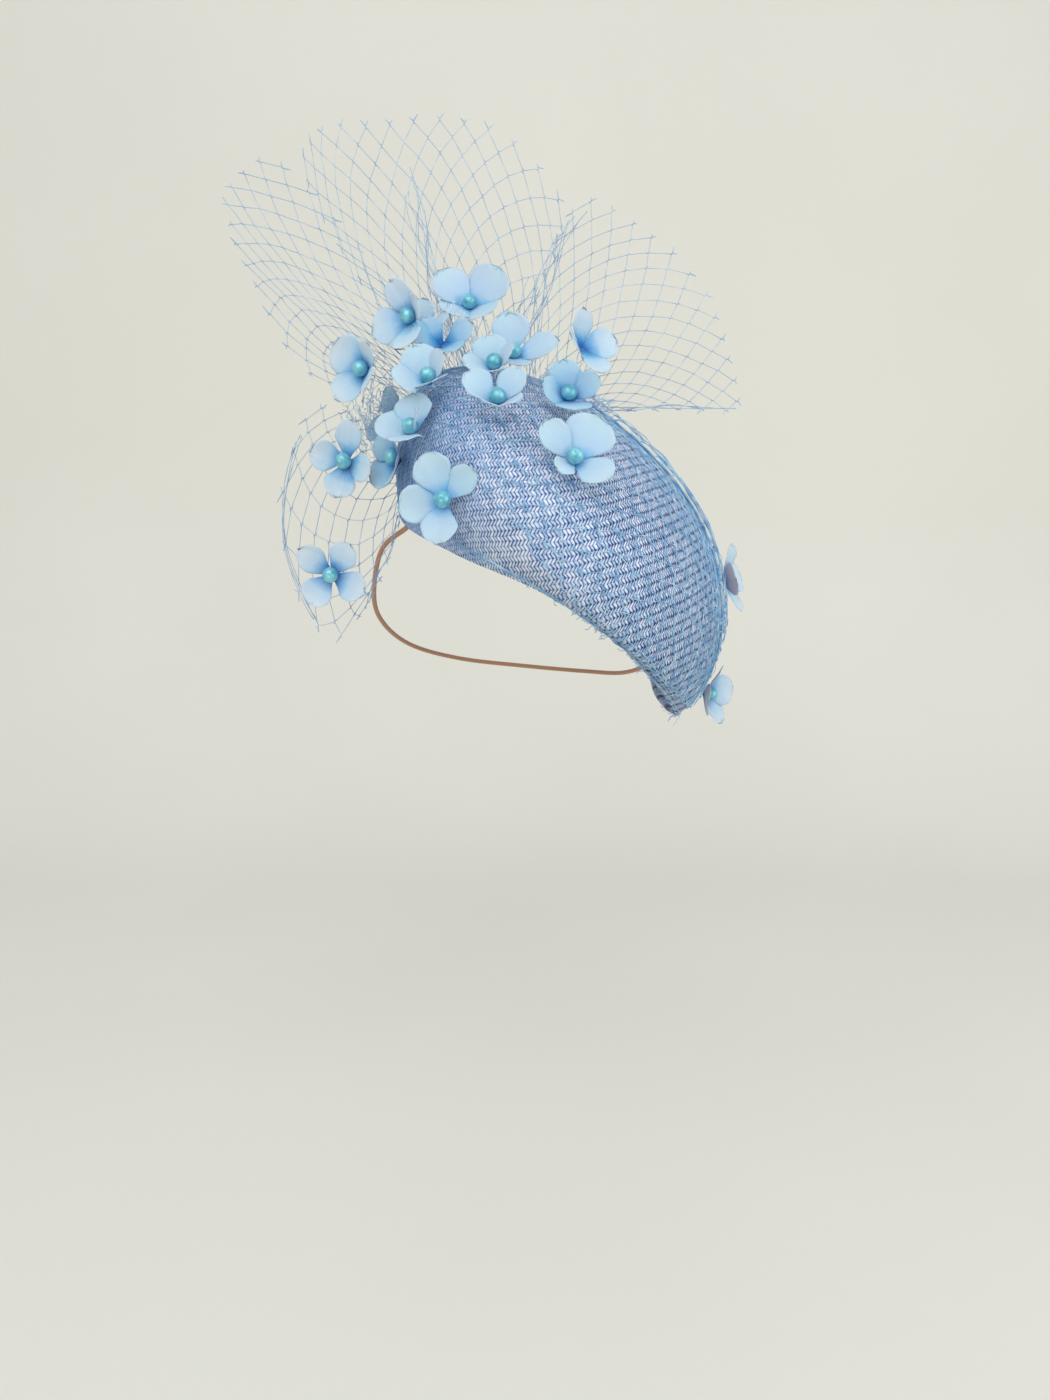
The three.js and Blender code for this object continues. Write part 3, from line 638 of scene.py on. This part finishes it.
def rollLines(surface, roll, chance):
    # Threads that lie together where an edge rolls over or a pleat is caught
    kind, place, count, spread, (start, end) = roll
    lines = []
    for _ in range(count):
        phase, turns = chance.uniform(0, 6.3), chance.uniform(0.5, 1.6)
        wide = spread * mm * chance.uniform(0.3, 1)
        first = start + chance.uniform(0, 0.06) * (end - start)
        last = end - chance.uniform(0, 0.22) * (end - start)
        line = []
        for n in range(25):
            run = first + (last - first) * n / 24
            point = surface(place, run) if kind == "rib" else surface(run, place)
            angle = phase + turns * 6.3 * n / 24
            away = Vector((math.cos(angle), 0.5 * math.sin(2 * angle), math.sin(angle)))
            line.append((point + away * wide, 0.9 if n % 6 else 1.5))
        lines.append(line)
    return lines


def gatherLines(spec, chance):
    # Threads of the gathers: they run one way, crinkled and crossing
    middle, way, long, wide, count = spec
    way = Vector(way).normalized()
    lines = []
    for _ in range(count):
        start = Vector(middle) * mm + wobble(chance, wide * mm)
        lean = (way + wobble(chance, 0.45)).normalized()
        seed = chance.uniform(0, 90)
        length = long * mm * chance.uniform(0.4, 1)
        line = []
        for n in range(19):
            run = n / 18 - 0.5
            bend = noise.noise_vector(Vector((seed, run * 6, 3))) * thread["crinkle"] * 1.6
            kink = noise.noise_vector(Vector((run * 19, seed, 7))) * thread["crinkle"] * 0.7
            line.append((start + lean * length * run + bend + kink, 0.9 if n % 4 else 1.35))
        lines.append(line)
    return lines


def veilMaterial(name, shade, middle, bright):
    # Nylon veiling: stiff thread, its tone varying a little along it
    material, tree, shader = startMaterial(name)
    place = addNode(tree, "TexCoord")
    dye = addNode(tree, "TexNoise", {"Scale": 160.0, "Detail": 1.0}, {"Vector": place.outputs["Object"]})
    colour = addRamp(tree, dye.outputs["Fac"], [(0.3, shade), (0.55, middle), (0.75, bright)])
    fuzz = addNode(tree, "TexNoise", {"Scale": 2600.0}, {"Vector": place.outputs["Object"]})
    bump = addNode(tree, "Bump", {"Strength": 0.4, "Distance": 0.1 * mm}, {"Height": fuzz.outputs["Fac"]})
    setShader(tree, shader, colour, bump, {"Roughness": 0.5, "Sheen Weight": 0.2})
    return material


# The crinkled finish is painted light: a paler copy of the doubled veiling, so that the shadowed gathers read
# light
veilFinish, tightFinish, litCrinkledFinish = [
    veilMaterial(name, *[thread[colour] for colour in colours]) for name, colours in (
        ("nylonVeiling", ("shade", "thread", "knot")),
        ("nylonVeilingDoubled", ("tightShade", "tight", "tightBright")),
        ("nylonVeilingCrinkledLit", ("tight", "tightBright", "crinkled")))]


def pleated(fan, across, along):
    # A pleat draws the columns beside it together towards the gathers
    if "pleat" not in fan:
        return across
    middle, width, pull = fan["pleat"]
    away = across - middle
    near = math.exp(-(away / width) ** 2)
    return middle + away * (1 - pull * near * max(0, 1 - along * 1.35))


def makeFans():
    for number, (name, fan) in enumerate(fans.items()):
        chance = random.Random(20 + number)

        def surface(across, along):
            # A fan's first edge may roll past its first rib
            past = fan.get("past", 0)
            return fanPoint(fan, pleated(fan, across, along) * (1 + past) - past, along)

        lines = netLines(surface, *fan["net"], chance)
        for roll in fan["rolls"]:
            lines += rollLines(surface, roll, chance)
        made = newObject("net_" + name, tubes("net_" + name, lines, thread["radius"]), veilFinish, "veil",
                         "veil_" + name)
        crinkled = [line for spec in gathers[name] for line in gatherLines(spec, chance)]
        extra = newObject("gathers_" + name, tubes("gathers_" + name, crinkled, thread["radius"] * 0.9),
                          litCrinkledFinish, "veil")
        print("net", name, len(lines) + len(crinkled), "threads")


makeFans()


# The veil over the straw: a net pulled tight over the whole dome, and a looser one that bunches along
# the tip side and the back. Around and down are the CAD's.
drape = {
    "from": (-22, 0.3), "to": (104, 0.78), "stand": 1.9 * mm, "puff": 3.4 * mm, "net": (8, 12),
    "cell": (15 * mm, 11 * mm), "turn": 62, "layerTurn": 34, "cells": 18, "hug": 0.5 * mm,
    "long": 150 * mm, "coverLong": 200 * mm,
    # The edge of the dome as seen from the front, in around and down: the veil lies doubled along it
    "ridge": [(150, 0.2), (132, 0.16), (112, 0.15), (94, 0.14), (64, 0.16), (42, 0.19), (32, 0.26),
              (28, 0.34), (24, 0.4), (18, 0.46), (14, 0.5), (10, 0.54), (4, 0.62), (2, 0.69), (0, 0.8)],
    "doubled": 46, "astray": 9, "rimThreads": 4, "curls": 40,
}


def drapePoint(across, along):
    run = along + 0.09 * math.sin(2 * math.pi * along)
    down = drape["from"][1] + (drape["to"][1] - drape["from"][1]) * run
    around = drape["from"][0] + (drape["to"][0] - drape["from"][0]) * across
    puff = drape["puff"] * math.sin(math.pi * along) * math.sin(math.pi * min(max(across, 0), 1))
    wave = 1 + 0.6 * noise.noise(Vector((across * 9, along * 5, 1)))
    return seatPoint(around, down, drape["stand"] * 0.5 + puff * wave)


@lru_cache(maxsize=None)
def faceLength(around):
    spots = [facePoint(around, k / 24) for k in range(25)]
    return sum((b - a).length for a, b in zip(spots, spots[1:]))


def coverPoint(x, y):
    # A point of a flat sheet laid over the dome from its crown, or nothing past the rim
    around = math.degrees(math.atan2(y, x))
    down = math.hypot(x, y) / faceLength(round(around))
    if down > 0.995:
        return None
    return seatPoint(around, max(down, 0.001), drape["hug"])


def coverLines(layer):
    tall, wide = drape["cell"]
    chance = random.Random(5 + layer)
    turn = math.radians(drape["turn"] + drape["layerTurn"] * layer)
    reach = drape["cells"]
    knots = {}
    for i in range(-reach, reach + 1):
        for j in range(-reach, reach + 1):
            if (i + j) % 2:
                x = i * wide / 2 + chance.uniform(-1, 1) * mm
                y = j * tall / 2 + chance.uniform(-1, 1) * mm
                point = (x * math.cos(turn) - y * math.sin(turn), x * math.sin(turn) + y * math.cos(turn))
                if coverPoint(*point):
                    knots[i, j] = point
    lines = []
    for _, chain in netChains(knots):
        flat = [Vector((*knots[key], 0)) for key in chain]
        spots = [coverPoint(spot.x, spot.y) for spot in smoothLine(flat, 4)]
        lines.append([(point, 1.6 if n % 4 == 0 else 0.9) for n, point in enumerate(spots) if point])
    return lines


def ridgeLines():
    # Strands bunched along the ridge, most of them close to the straw and a few that stand off it
    chance = random.Random(47)
    spots = smoothLine([Vector((around, down * 100, 0)) for around, down in drape["ridge"]], 5)
    frames = [(seatPoint(spot.x, spot.y / 100, 0), seatNormal(spot.x, spot.y / 100)) for spot in spots]
    lines = []
    for number in range(drape["doubled"] + drape["astray"]):
        astray = number >= drape["doubled"]
        length = chance.randint(18, 46)
        first = chance.randint(0, len(frames) - length - 1)
        sideways, stand = chance.uniform(-3.5, 3), chance.uniform(0.5, 1.9)
        if astray:
            sideways, stand = chance.uniform(-2, 1), chance.uniform(2.4, 4.6)
        seed = chance.uniform(0, 90)
        line = []
        for n in range(first, first + length):
            point, normal = frames[n]
            ahead = (frames[min(n + 1, len(frames) - 1)][0] - frames[max(n - 1, 0)][0]).normalized()
            side = ahead.cross(normal)
            drift = noise.noise(Vector((n * 0.16, seed, 1))) * (2.6 if astray else 2.2)
            hop = abs(noise.noise(Vector((n * 0.2, seed, 5)))) * (2.6 if astray else 0.8)
            fall = 0 if 0 < n - first < length - 1 or not astray else -stand + 0.6
            line.append((point + (side * (sideways + drift) + normal * (stand + hop + fall)) * mm,
                         0.85 if n % 5 else 1.4))
        lines.append(line)
    return lines


def rimLines():
    # Wavy threads along the front rim, and frayed ends that curl under it
    chance = random.Random(53)
    lines = []
    for _ in range(drape["rimThreads"]):
        seed = chance.uniform(0, 90)
        line = []
        for n in range(111):
            around = 226 + n * 1.2
            down = 0.955 + 0.03 * noise.noise(Vector((n * 0.12, seed, 1)))
            line.append((seatPoint(around, down, (1.1 + noise.noise(Vector((n * 0.3, seed, 4)))) * mm),
                         1.4 if n % 9 == 0 else 0.9))
        lines.append(line)
    for number in range(drape["curls"]):
        around = chance.uniform(262, 350) if number % 4 else chance.uniform(-8, 24)
        seed = chance.uniform(0, 90)
        way = seatPoint(around, 1, 0) - seatPoint(around, 0.97, 0)
        way = way.normalized() + wobble(chance, 0.7)
        reach = chance.uniform(2, 5.5) * mm
        start = seatPoint(around, 0.985, 1.0 * mm)
        steps = [start + way * reach * n / 9
                 + noise.noise_vector(Vector((n * 0.35, seed, 2))) * (0.4 + n * 0.22) * mm for n in range(10)]
        lines.append([(step, 0.85) for step in steps])
    return lines


def makeDrape():
    lines = netLines(drapePoint, *drape["net"], random.Random(31), loose=0.8 * mm, jitter=1.2 * mm,
                     ends=(0.1, 0.3))
    mesh = tubes("net_drape", lines + ridgeLines(), thread["radius"])
    loose = newObject("net_drape", mesh, tightFinish, "veil", "veil_drape")
    mesh = tubes("net_cover", coverLines(0) + coverLines(1) + rimLines(), thread["radius"] * 1.05)
    cover = newObject("net_cover", mesh, tightFinish, "veil")


makeDrape()
print("veils made")


# Flowers: the CAD's seats, facings and petals. Each has a name, what it is sewn to, its seat there (around
# and down, or a knot of the CAD's net), reach, facing (turn and tilt), the petals' angles, cup and size.
blossom = {
    "long": 19.2 * mm, "broad": 17 * mm, "sheet": 0.3 * mm, "widest": 0.6, "root": 0.2,
    "acrossSteps": 12, "alongSteps": 14, "layer": 0.35 * mm, "foot": 0.4 * mm, "buttonHigh": 1.6 * mm,
    "stem": 0.3 * mm, "pearl": 3.8 * mm, "hole": 0.9 * mm, "holeDeep": 0.5 * mm, "seam": 0.35 * mm,
    "pearlShade": "#439cb2", "pearlBright": "#82ccd8",
    "heart": "#2b85c6", "inner": "#6ab0dc", "middle": "#a2c3da", "edge": "#aecad9",
    "deepHeart": "#1b6bb0", "deepInner": "#529fce", "deepMiddle": "#a3c6db", "deepEdge": "#bbcfdc",
    "shadeHeart": "#1c69a8", "shadeInner": "#4490c4", "shadeMiddle": "#80b2d2", "shadeEdge": "#9dc3d6",
}
# Petals that differ from the rest of their kind: share of the length, share of the breadth, degrees that
# they rise by over the flower's cup, and degrees that they are turned by
ownPetals = {
    "01": [(1.06, 1.14, -4, 0), (1, 1.08, -2, 0), (0.7, 0.95, 2, 0), (0.72, 0.95, 2, 0)],
    "02": [(0.72, 0.7, 14, 0), (0.95, 0.72, 8, 0), (1, 1.04, -4, 0), (1, 0.9, 4, 0)],
    "03": [(0.75, 0.65, 10, 0), (1.04, 1.06, -6, 0), (1, 0.94, 0, 0), (0.7, 0.7, 10, 0)],
    "04": [(0.86, 0.84, 8, 0), (1.06, 0.82, -2, 0), (1.02, 0.9, -2, 0), (0.96, 0.9, 0, 0)],
    "05": [(0.96, 0.84, 0, 0), (0.98, 0.88, 0, 0), (1, 0.82, 0, 0), (0.94, 0.86, 0, 0)],
    "06": [(0.85, 0.6, 18, 0), (1.06, 1.15, -6, 0), (1, 1.1, -8, 0), (0.86, 1, -14, 0)],
    "07": [(0.96, 0.72, 0, 14), (1.06, 0.98, -2, 0), (1.06, 0.98, -2, 0), (1.06, 0.94, 0, -8)],
    "08": [(0.9, 0.8, 12, 0), (1.06, 1.1, -6, 0), (1, 1.1, -2, 0), (0.8, 1, 0, 0)],
    "09": [(1, 0.8, 4, 8), (1.02, 0.84, 0, -6), (0.66, 0.85, 4, 0), (0.7, 0.8, 4, 0)],
    "10": [(1.12, 0.9, -2, 0), (1, 1, -4, 0), (0.82, 0.85, 6, 0), (0.65, 0.85, 0, 0)],
    "11": [(0.85, 0.8, 6, 0), (1.02, 1.06, -4, 0), (0.95, 0.95, 0, 0), (0.7, 0.9, 0, 0)],
    "13": [(1.02, 0.88, 2, 0), (1, 1, -4, 0), (0.9, 0.9, 4, 0), (0.95, 1.1, 2, 0)],
    "14": [(1, 0.9, 4, -14), (1.08, 1.26, -2, 0), (1.04, 0.76, 8, -6), (0.55, 0.6, 14, 4)],
    "15": [(1, 1.1, 0, 0), (1, 1.1, 0, 0), (1.2, 1.2, -6, 0), (1.25, 1.15, -6, 0)],
    "18": [(1.4, 1.3, -4, 0), (1.2, 1.2, 0, 0), (1.35, 1.35, -6, 0), (1.35, 1.35, -4, 0)],
    "19": [(1.12, 1.1, 0, -22), (1, 0.9, 0, 0), (1.1, 1.15, 4, -40), (0.9, 0.9, 0, 0)],
    "20": [(1.15, 1.15, -4, 0), (1.15, 1.2, -4, 0), (1.15, 1.1, 0, 0), (1.1, 1.1, 0, 0)],
}
# Flowers with a deep blue heart, and those in painted shade: a darker copy of the fabric for flowers in the
# shadow of the cluster
deepFlowers = ["02", "03", "04", "05", "12", "16", "17"]
shadeFlowers = ["13", "15", "19", "20"]
flowers = [
    ("01", "centre", (7, 2), (-2, -8, -3), (-4, 36), (45, 137, 222, 314), 26, 1.25),
    ("02", "left", (0, 1), (3, -11, 4), (-36, 8), (25, 118, 198, 285), 22, 1.1),
    ("03", "left", (8, 3), (1, -8, 3), (-40, 4), (50, 143, 228, 318), 24, 1.1),
    ("04", "lower", (2, 3), (1, -9, 2), (-14, 0), (-22, 78, 166, 256), 14, 0.96),
    ("05", "lower", (4, 5), (-2, -7, -2), (-4, 0), (-28, 56, 142, 230), 12, 1),
    ("06", "base", (221, 0.775), (-5, -4, 1), (-26, 42), (8, 100, 182, 272), 38, 0.92),
    ("07", "base", (238, 0.835), (-4, -5, -1), (-6, 0), (30, 110, 190, 270), 14, 1.02),
    ("08", "base", (213, 0.6), (-4, -5, 4), (-20, 44), (40, 125, 208, 304), 36, 0.95),
    ("09", "base", (232, 0.47), (1, -6, 6), (4, 46), (40, 150, 232, 318), 28, 1),
    ("10", "base", (195, 0.3), (3, -2, 8), (8, 34), (5, 95, 185, 275), 26, 1.1),
    ("11", "base", (210, 0.355), (1, -4, 5), (-14, 46), (25, 112, 200, 290), 36, 0.9),
    ("12", "right", (3, 2), (-2, -9, -1), (46, 20), (5, 95, 185, 275), 28, 1.05),
    ("13", "base", (235, 0.18), (3, -2, 5), (8, 34), (15, 98, 182, 275), 34, 0.92),
    ("14", "base", (260, 0.41), (3, -5, 4), (6, 26), (-26, 57, 137, 218), 16, 1.08),
    ("15", "base", (212, 0.89), (0, -2, 5), (-56, 4), (50, 140, 225, 320), 34, 0.8),
    ("16", "base", (38, 0.545), (8, 2, 2), (72, 10), (0, 90, 180, 270), 24, 1.05),
    ("17", "base", (18, 0.8), (7, 1, -4), (62, -6), (10, 100, 190, 280), 34, 1),
    ("18", "centre", (0, 1), (3, -6, 7), (-20, 40), (0, 90, 180, 270), 30, 0.7),
    ("19", "base", (197, 0.565), (1, -5, 12), (-5, 34), (45, 135, 225, 315), 30, 0.8),
    ("20", "base", (190, 0.84), (-5, 0, 0), (-60, 20), (20, 110, 200, 290), 24, 0.85),
]
withoutPearl = ["12", "16", "18", "19", "20"]


def petalMaterial(name, kind, spread):
    # Pressed and dyed fabric: matte, faintly veined from the root, deep blue at the flower's heart
    material, tree, shader = startMaterial(name)
    uv = addNode(tree, "UVMap", uv_map="petal")
    parts = addNode(tree, "SeparateXYZ", links={"Vector": uv.outputs["UV"]})
    streaks = addNode(tree, "CombineXYZ", links={
        "X": addMath(tree, "MULTIPLY", parts.outputs["X"], 22),
        "Y": addMath(tree, "MULTIPLY", parts.outputs["Y"], 1.6)})
    veins = addNode(tree, "TexNoise", {"Scale": 1.0, "Detail": 2.0}, {"Vector": streaks.outputs["Vector"]})
    place = addNode(tree, "TexCoord")
    dye = addNode(tree, "TexNoise", {"Scale": 110.0, "Detail": 2.0}, {"Vector": place.outputs["Object"]})
    run = addMath(tree, "MULTIPLY_ADD", addMath(tree, "SUBTRACT", veins.outputs["Fac"], 0.5), 0.14,
                  parts.outputs["Y"])
    run = addMath(tree, "MULTIPLY_ADD", addMath(tree, "SUBTRACT", dye.outputs["Fac"], 0.5), 0.3, run)
    zones = ("Heart", "Inner", "Middle", "Edge") if kind else ("heart", "inner", "middle", "edge")
    places = (0.09 * spread, 0.2 * spread, 0.36 * spread, 0.85)
    colour = addRamp(tree, run, [(spot, blossom[kind + zone]) for spot, zone in zip(places, zones)])
    cloth = addNode(tree, "TexNoise", {"Scale": 2200.0}, {"Vector": place.outputs["Object"]})
    relief = addMath(tree, "MULTIPLY_ADD", veins.outputs["Fac"], 1.2,
                     addMath(tree, "MULTIPLY", cloth.outputs["Fac"], 0.5))
    bump = addNode(tree, "Bump", {"Strength": 0.3, "Distance": 0.25 * mm}, {"Height": relief})
    setShader(tree, shader, colour, bump, {
        "Roughness": 0.9, "Specular IOR Level": 0.25, "Sheen Weight": 0.2,
        "Subsurface Weight": 0.3, "Subsurface Scale": 3 * mm})
    return material


def pearlMaterial():
    # A plastic pearl: a dyed bead under pearly lacquer, with a broad soft light on it
    material, tree, shader = startMaterial("lacqueredPearl")
    place = addNode(tree, "TexCoord")
    cloud = addNode(tree, "TexNoise", {"Scale": 260.0, "Detail": 2.0}, {"Vector": place.outputs["Object"]})
    colour = addRamp(tree, cloud.outputs["Fac"],
                     [(0.3, blossom["pearlShade"]), (0.7, blossom["pearlBright"])])
    setShader(tree, shader, colour, None, {
        "Metallic": 0.5, "Roughness": 0.38, "Coat Weight": 1, "Coat Roughness": 0.26})
    return material


petalFinishes = {
    "": petalMaterial("pressedPetalFabric", "", 1.06),
    "deep": petalMaterial("pressedPetalFabricDeep", "deep", 1.42),
    # The shade kind is painted shade, the same fabric darker for flowers that lie in the cluster's shadow
    "shade": petalMaterial("pressedPetalFabricShade", "shade", 1.3),
}
pearlFinish = pearlMaterial()


def flowerAxes(face):
    turn, tilt = math.radians(face[0]), math.radians(face[1])
    way = Vector((math.sin(turn) * math.cos(tilt), -math.cos(turn) * math.cos(tilt), math.sin(tilt)))
    side = Vector((math.cos(turn), math.sin(turn), 0))
    return Matrix((side, way.cross(side), way)).transposed()


def petalOutline(t, edgeNoise):
    # Half the petal's breadth at a share of its length
    if t < blossom["widest"]:
        s = t / blossom["widest"]
        half = blossom["root"] + (1 - blossom["root"]) * s * s * (3 - 2 * s)
    else:
        half = math.sqrt(max(0, 1 - ((t - blossom["widest"]) / (1 - blossom["widest"])) ** 2))
    return half * (1 + edgeNoise)


def addPetal(grid, uvLayer, angle, cup, size, own, chance):
    made = bmesh.ops.create_grid(grid, x_segments=blossom["acrossSteps"], y_segments=blossom["alongSteps"],
                                 size=1)
    length = blossom["long"] * size * own[0] * chance.uniform(0.97, 1.05)
    half = blossom["broad"] * size * own[1] / 2 * chance.uniform(0.96, 1.06)
    lift = math.radians(cup + own[2] + chance.uniform(-5, 5))
    turn = math.radians(angle + own[3])
    twist = chance.uniform(-0.1, 0.1)
    curl = chance.uniform(-0.03, 0.05)
    trough = chance.uniform(0.02, 0.12)
    crease = chance.choice([0, 0.03, 0.07]) * chance.choice([-1, 1])
    seed = chance.uniform(0, 90)
    for vert in made["verts"]:
        s, t = vert.co.x, (vert.co.y + 1) / 2
        along = t ** 0.8
        ragged = 0.07 * noise.noise(Vector((s * 2.2 + seed, t * 7, seed)))
        ragged += 0.05 * noise.noise(Vector((s * 9 + seed, t * 21, seed)))
        wide = petalOutline(along, ragged) * half
        out = length * along * (1 + 0.06 * noise.noise(Vector((s * 3, seed, 2))) * along)
        share = s * wide / half
        rise = length * (curl * along ** 2.5 + trough * share * share * along
                         + twist * share * along - 0.02 * (1 - abs(share)) * along
                         + crease * math.exp(-((share - 0.25) / 0.16) ** 2) * along * (1.1 - along))
        rise += 0.5 * mm * noise.noise(Vector((share * 1.6, t * 2.4, seed))) * along
        rise += 0.35 * mm * noise.noise(Vector((share * 5, t * 6, seed))) * along * abs(share)
        radial = out * math.cos(lift) - rise * math.sin(lift)
        height = out * math.sin(lift) + rise * math.cos(lift) + blossom["foot"]
        side = s * wide
        for loop in vert.link_loops:
            loop[uvLayer].uv = (0.5 + 0.5 * s, along)
        vert.co = Vector((radial * math.cos(turn) - side * math.sin(turn),
                          radial * math.sin(turn) + side * math.cos(turn), height))


def seatOf(on, at):
    if on == "base":
        return seatPoint(*at, 0)
    columns, rows = fans[on]["cad"]
    return fanPoint(fans[on], at[0] / (2 * columns), at[1] / (2 * rows))


def makeFlowers():
    for number, (name, on, at, reach, face, petals, cup, size) in enumerate(flowers):
        chance = random.Random(100 + number)
        turn = flowerAxes(face)
        seat = seatOf(on, at)
        middle = seat + Vector(reach) * mm
        grid = bmesh.new()
        uvLayer = grid.loops.layers.uv.new("petal")
        for k, angle in enumerate(petals):
            own = ownPetals[name][k] if name in ownPetals else (1, 1, 0, 0)
            addPetal(grid, uvLayer, angle, cup, size, own, chance)
            for vert in grid.verts[-(blossom["acrossSteps"] + 1) * (blossom["alongSteps"] + 1):]:
                vert.co.z += (k % 2) * blossom["layer"]
        bmesh.ops.remove_doubles(grid, verts=grid.verts, dist=1e-6)
        bmesh.ops.recalc_face_normals(grid, faces=grid.faces)
        for vert in grid.verts:
            vert.co = turn @ vert.co + middle
        mesh = closeMesh("blossom_" + name, grid)
        kind = "deep" if name in deepFlowers else "shade" if name in shadeFlowers else ""
        made = newObject("blossom_" + name, mesh, petalFinishes[kind], "petal", "flower_" + name)
        wall = made.modifiers.new("petalSheet", "SOLIDIFY")
        wall.thickness = blossom["sheet"]
        wall.offset = -1
        stem = tubes("stitch_" + name, [[(seat + Vector(reach) * 0.04 * mm, 1),
                                         (seat + Vector(reach) * 0.5 * mm, 1.2), (middle, 2.2)]],
                     blossom["stem"], 1)
        newObject("stitch_" + name, stem, tightFinish, "petal")
        if name not in withoutPearl:
            pearl = bmesh.new()
            bmesh.ops.create_uvsphere(pearl, u_segments=28, v_segments=18, radius=blossom["pearl"])
            rise = blossom["buttonHigh"] / 2 + blossom["seam"] + blossom["pearl"]
            for vert in pearl.verts:
                # The drilled hole shows as a small dimple on the front
                flat = math.hypot(vert.co.x, vert.co.y)
                if vert.co.z > 0 and flat < blossom["hole"]:
                    vert.co.z -= blossom["holeDeep"] * (1 - flat / blossom["hole"])
                vert.co = turn @ (vert.co + Vector((0, 0, rise))) + middle
            newObject("bead_" + name, closeMesh("bead_" + name, pearl), pearlFinish, "pearl",
                      "pearl_" + name)


makeFlowers()
print("flowers made")
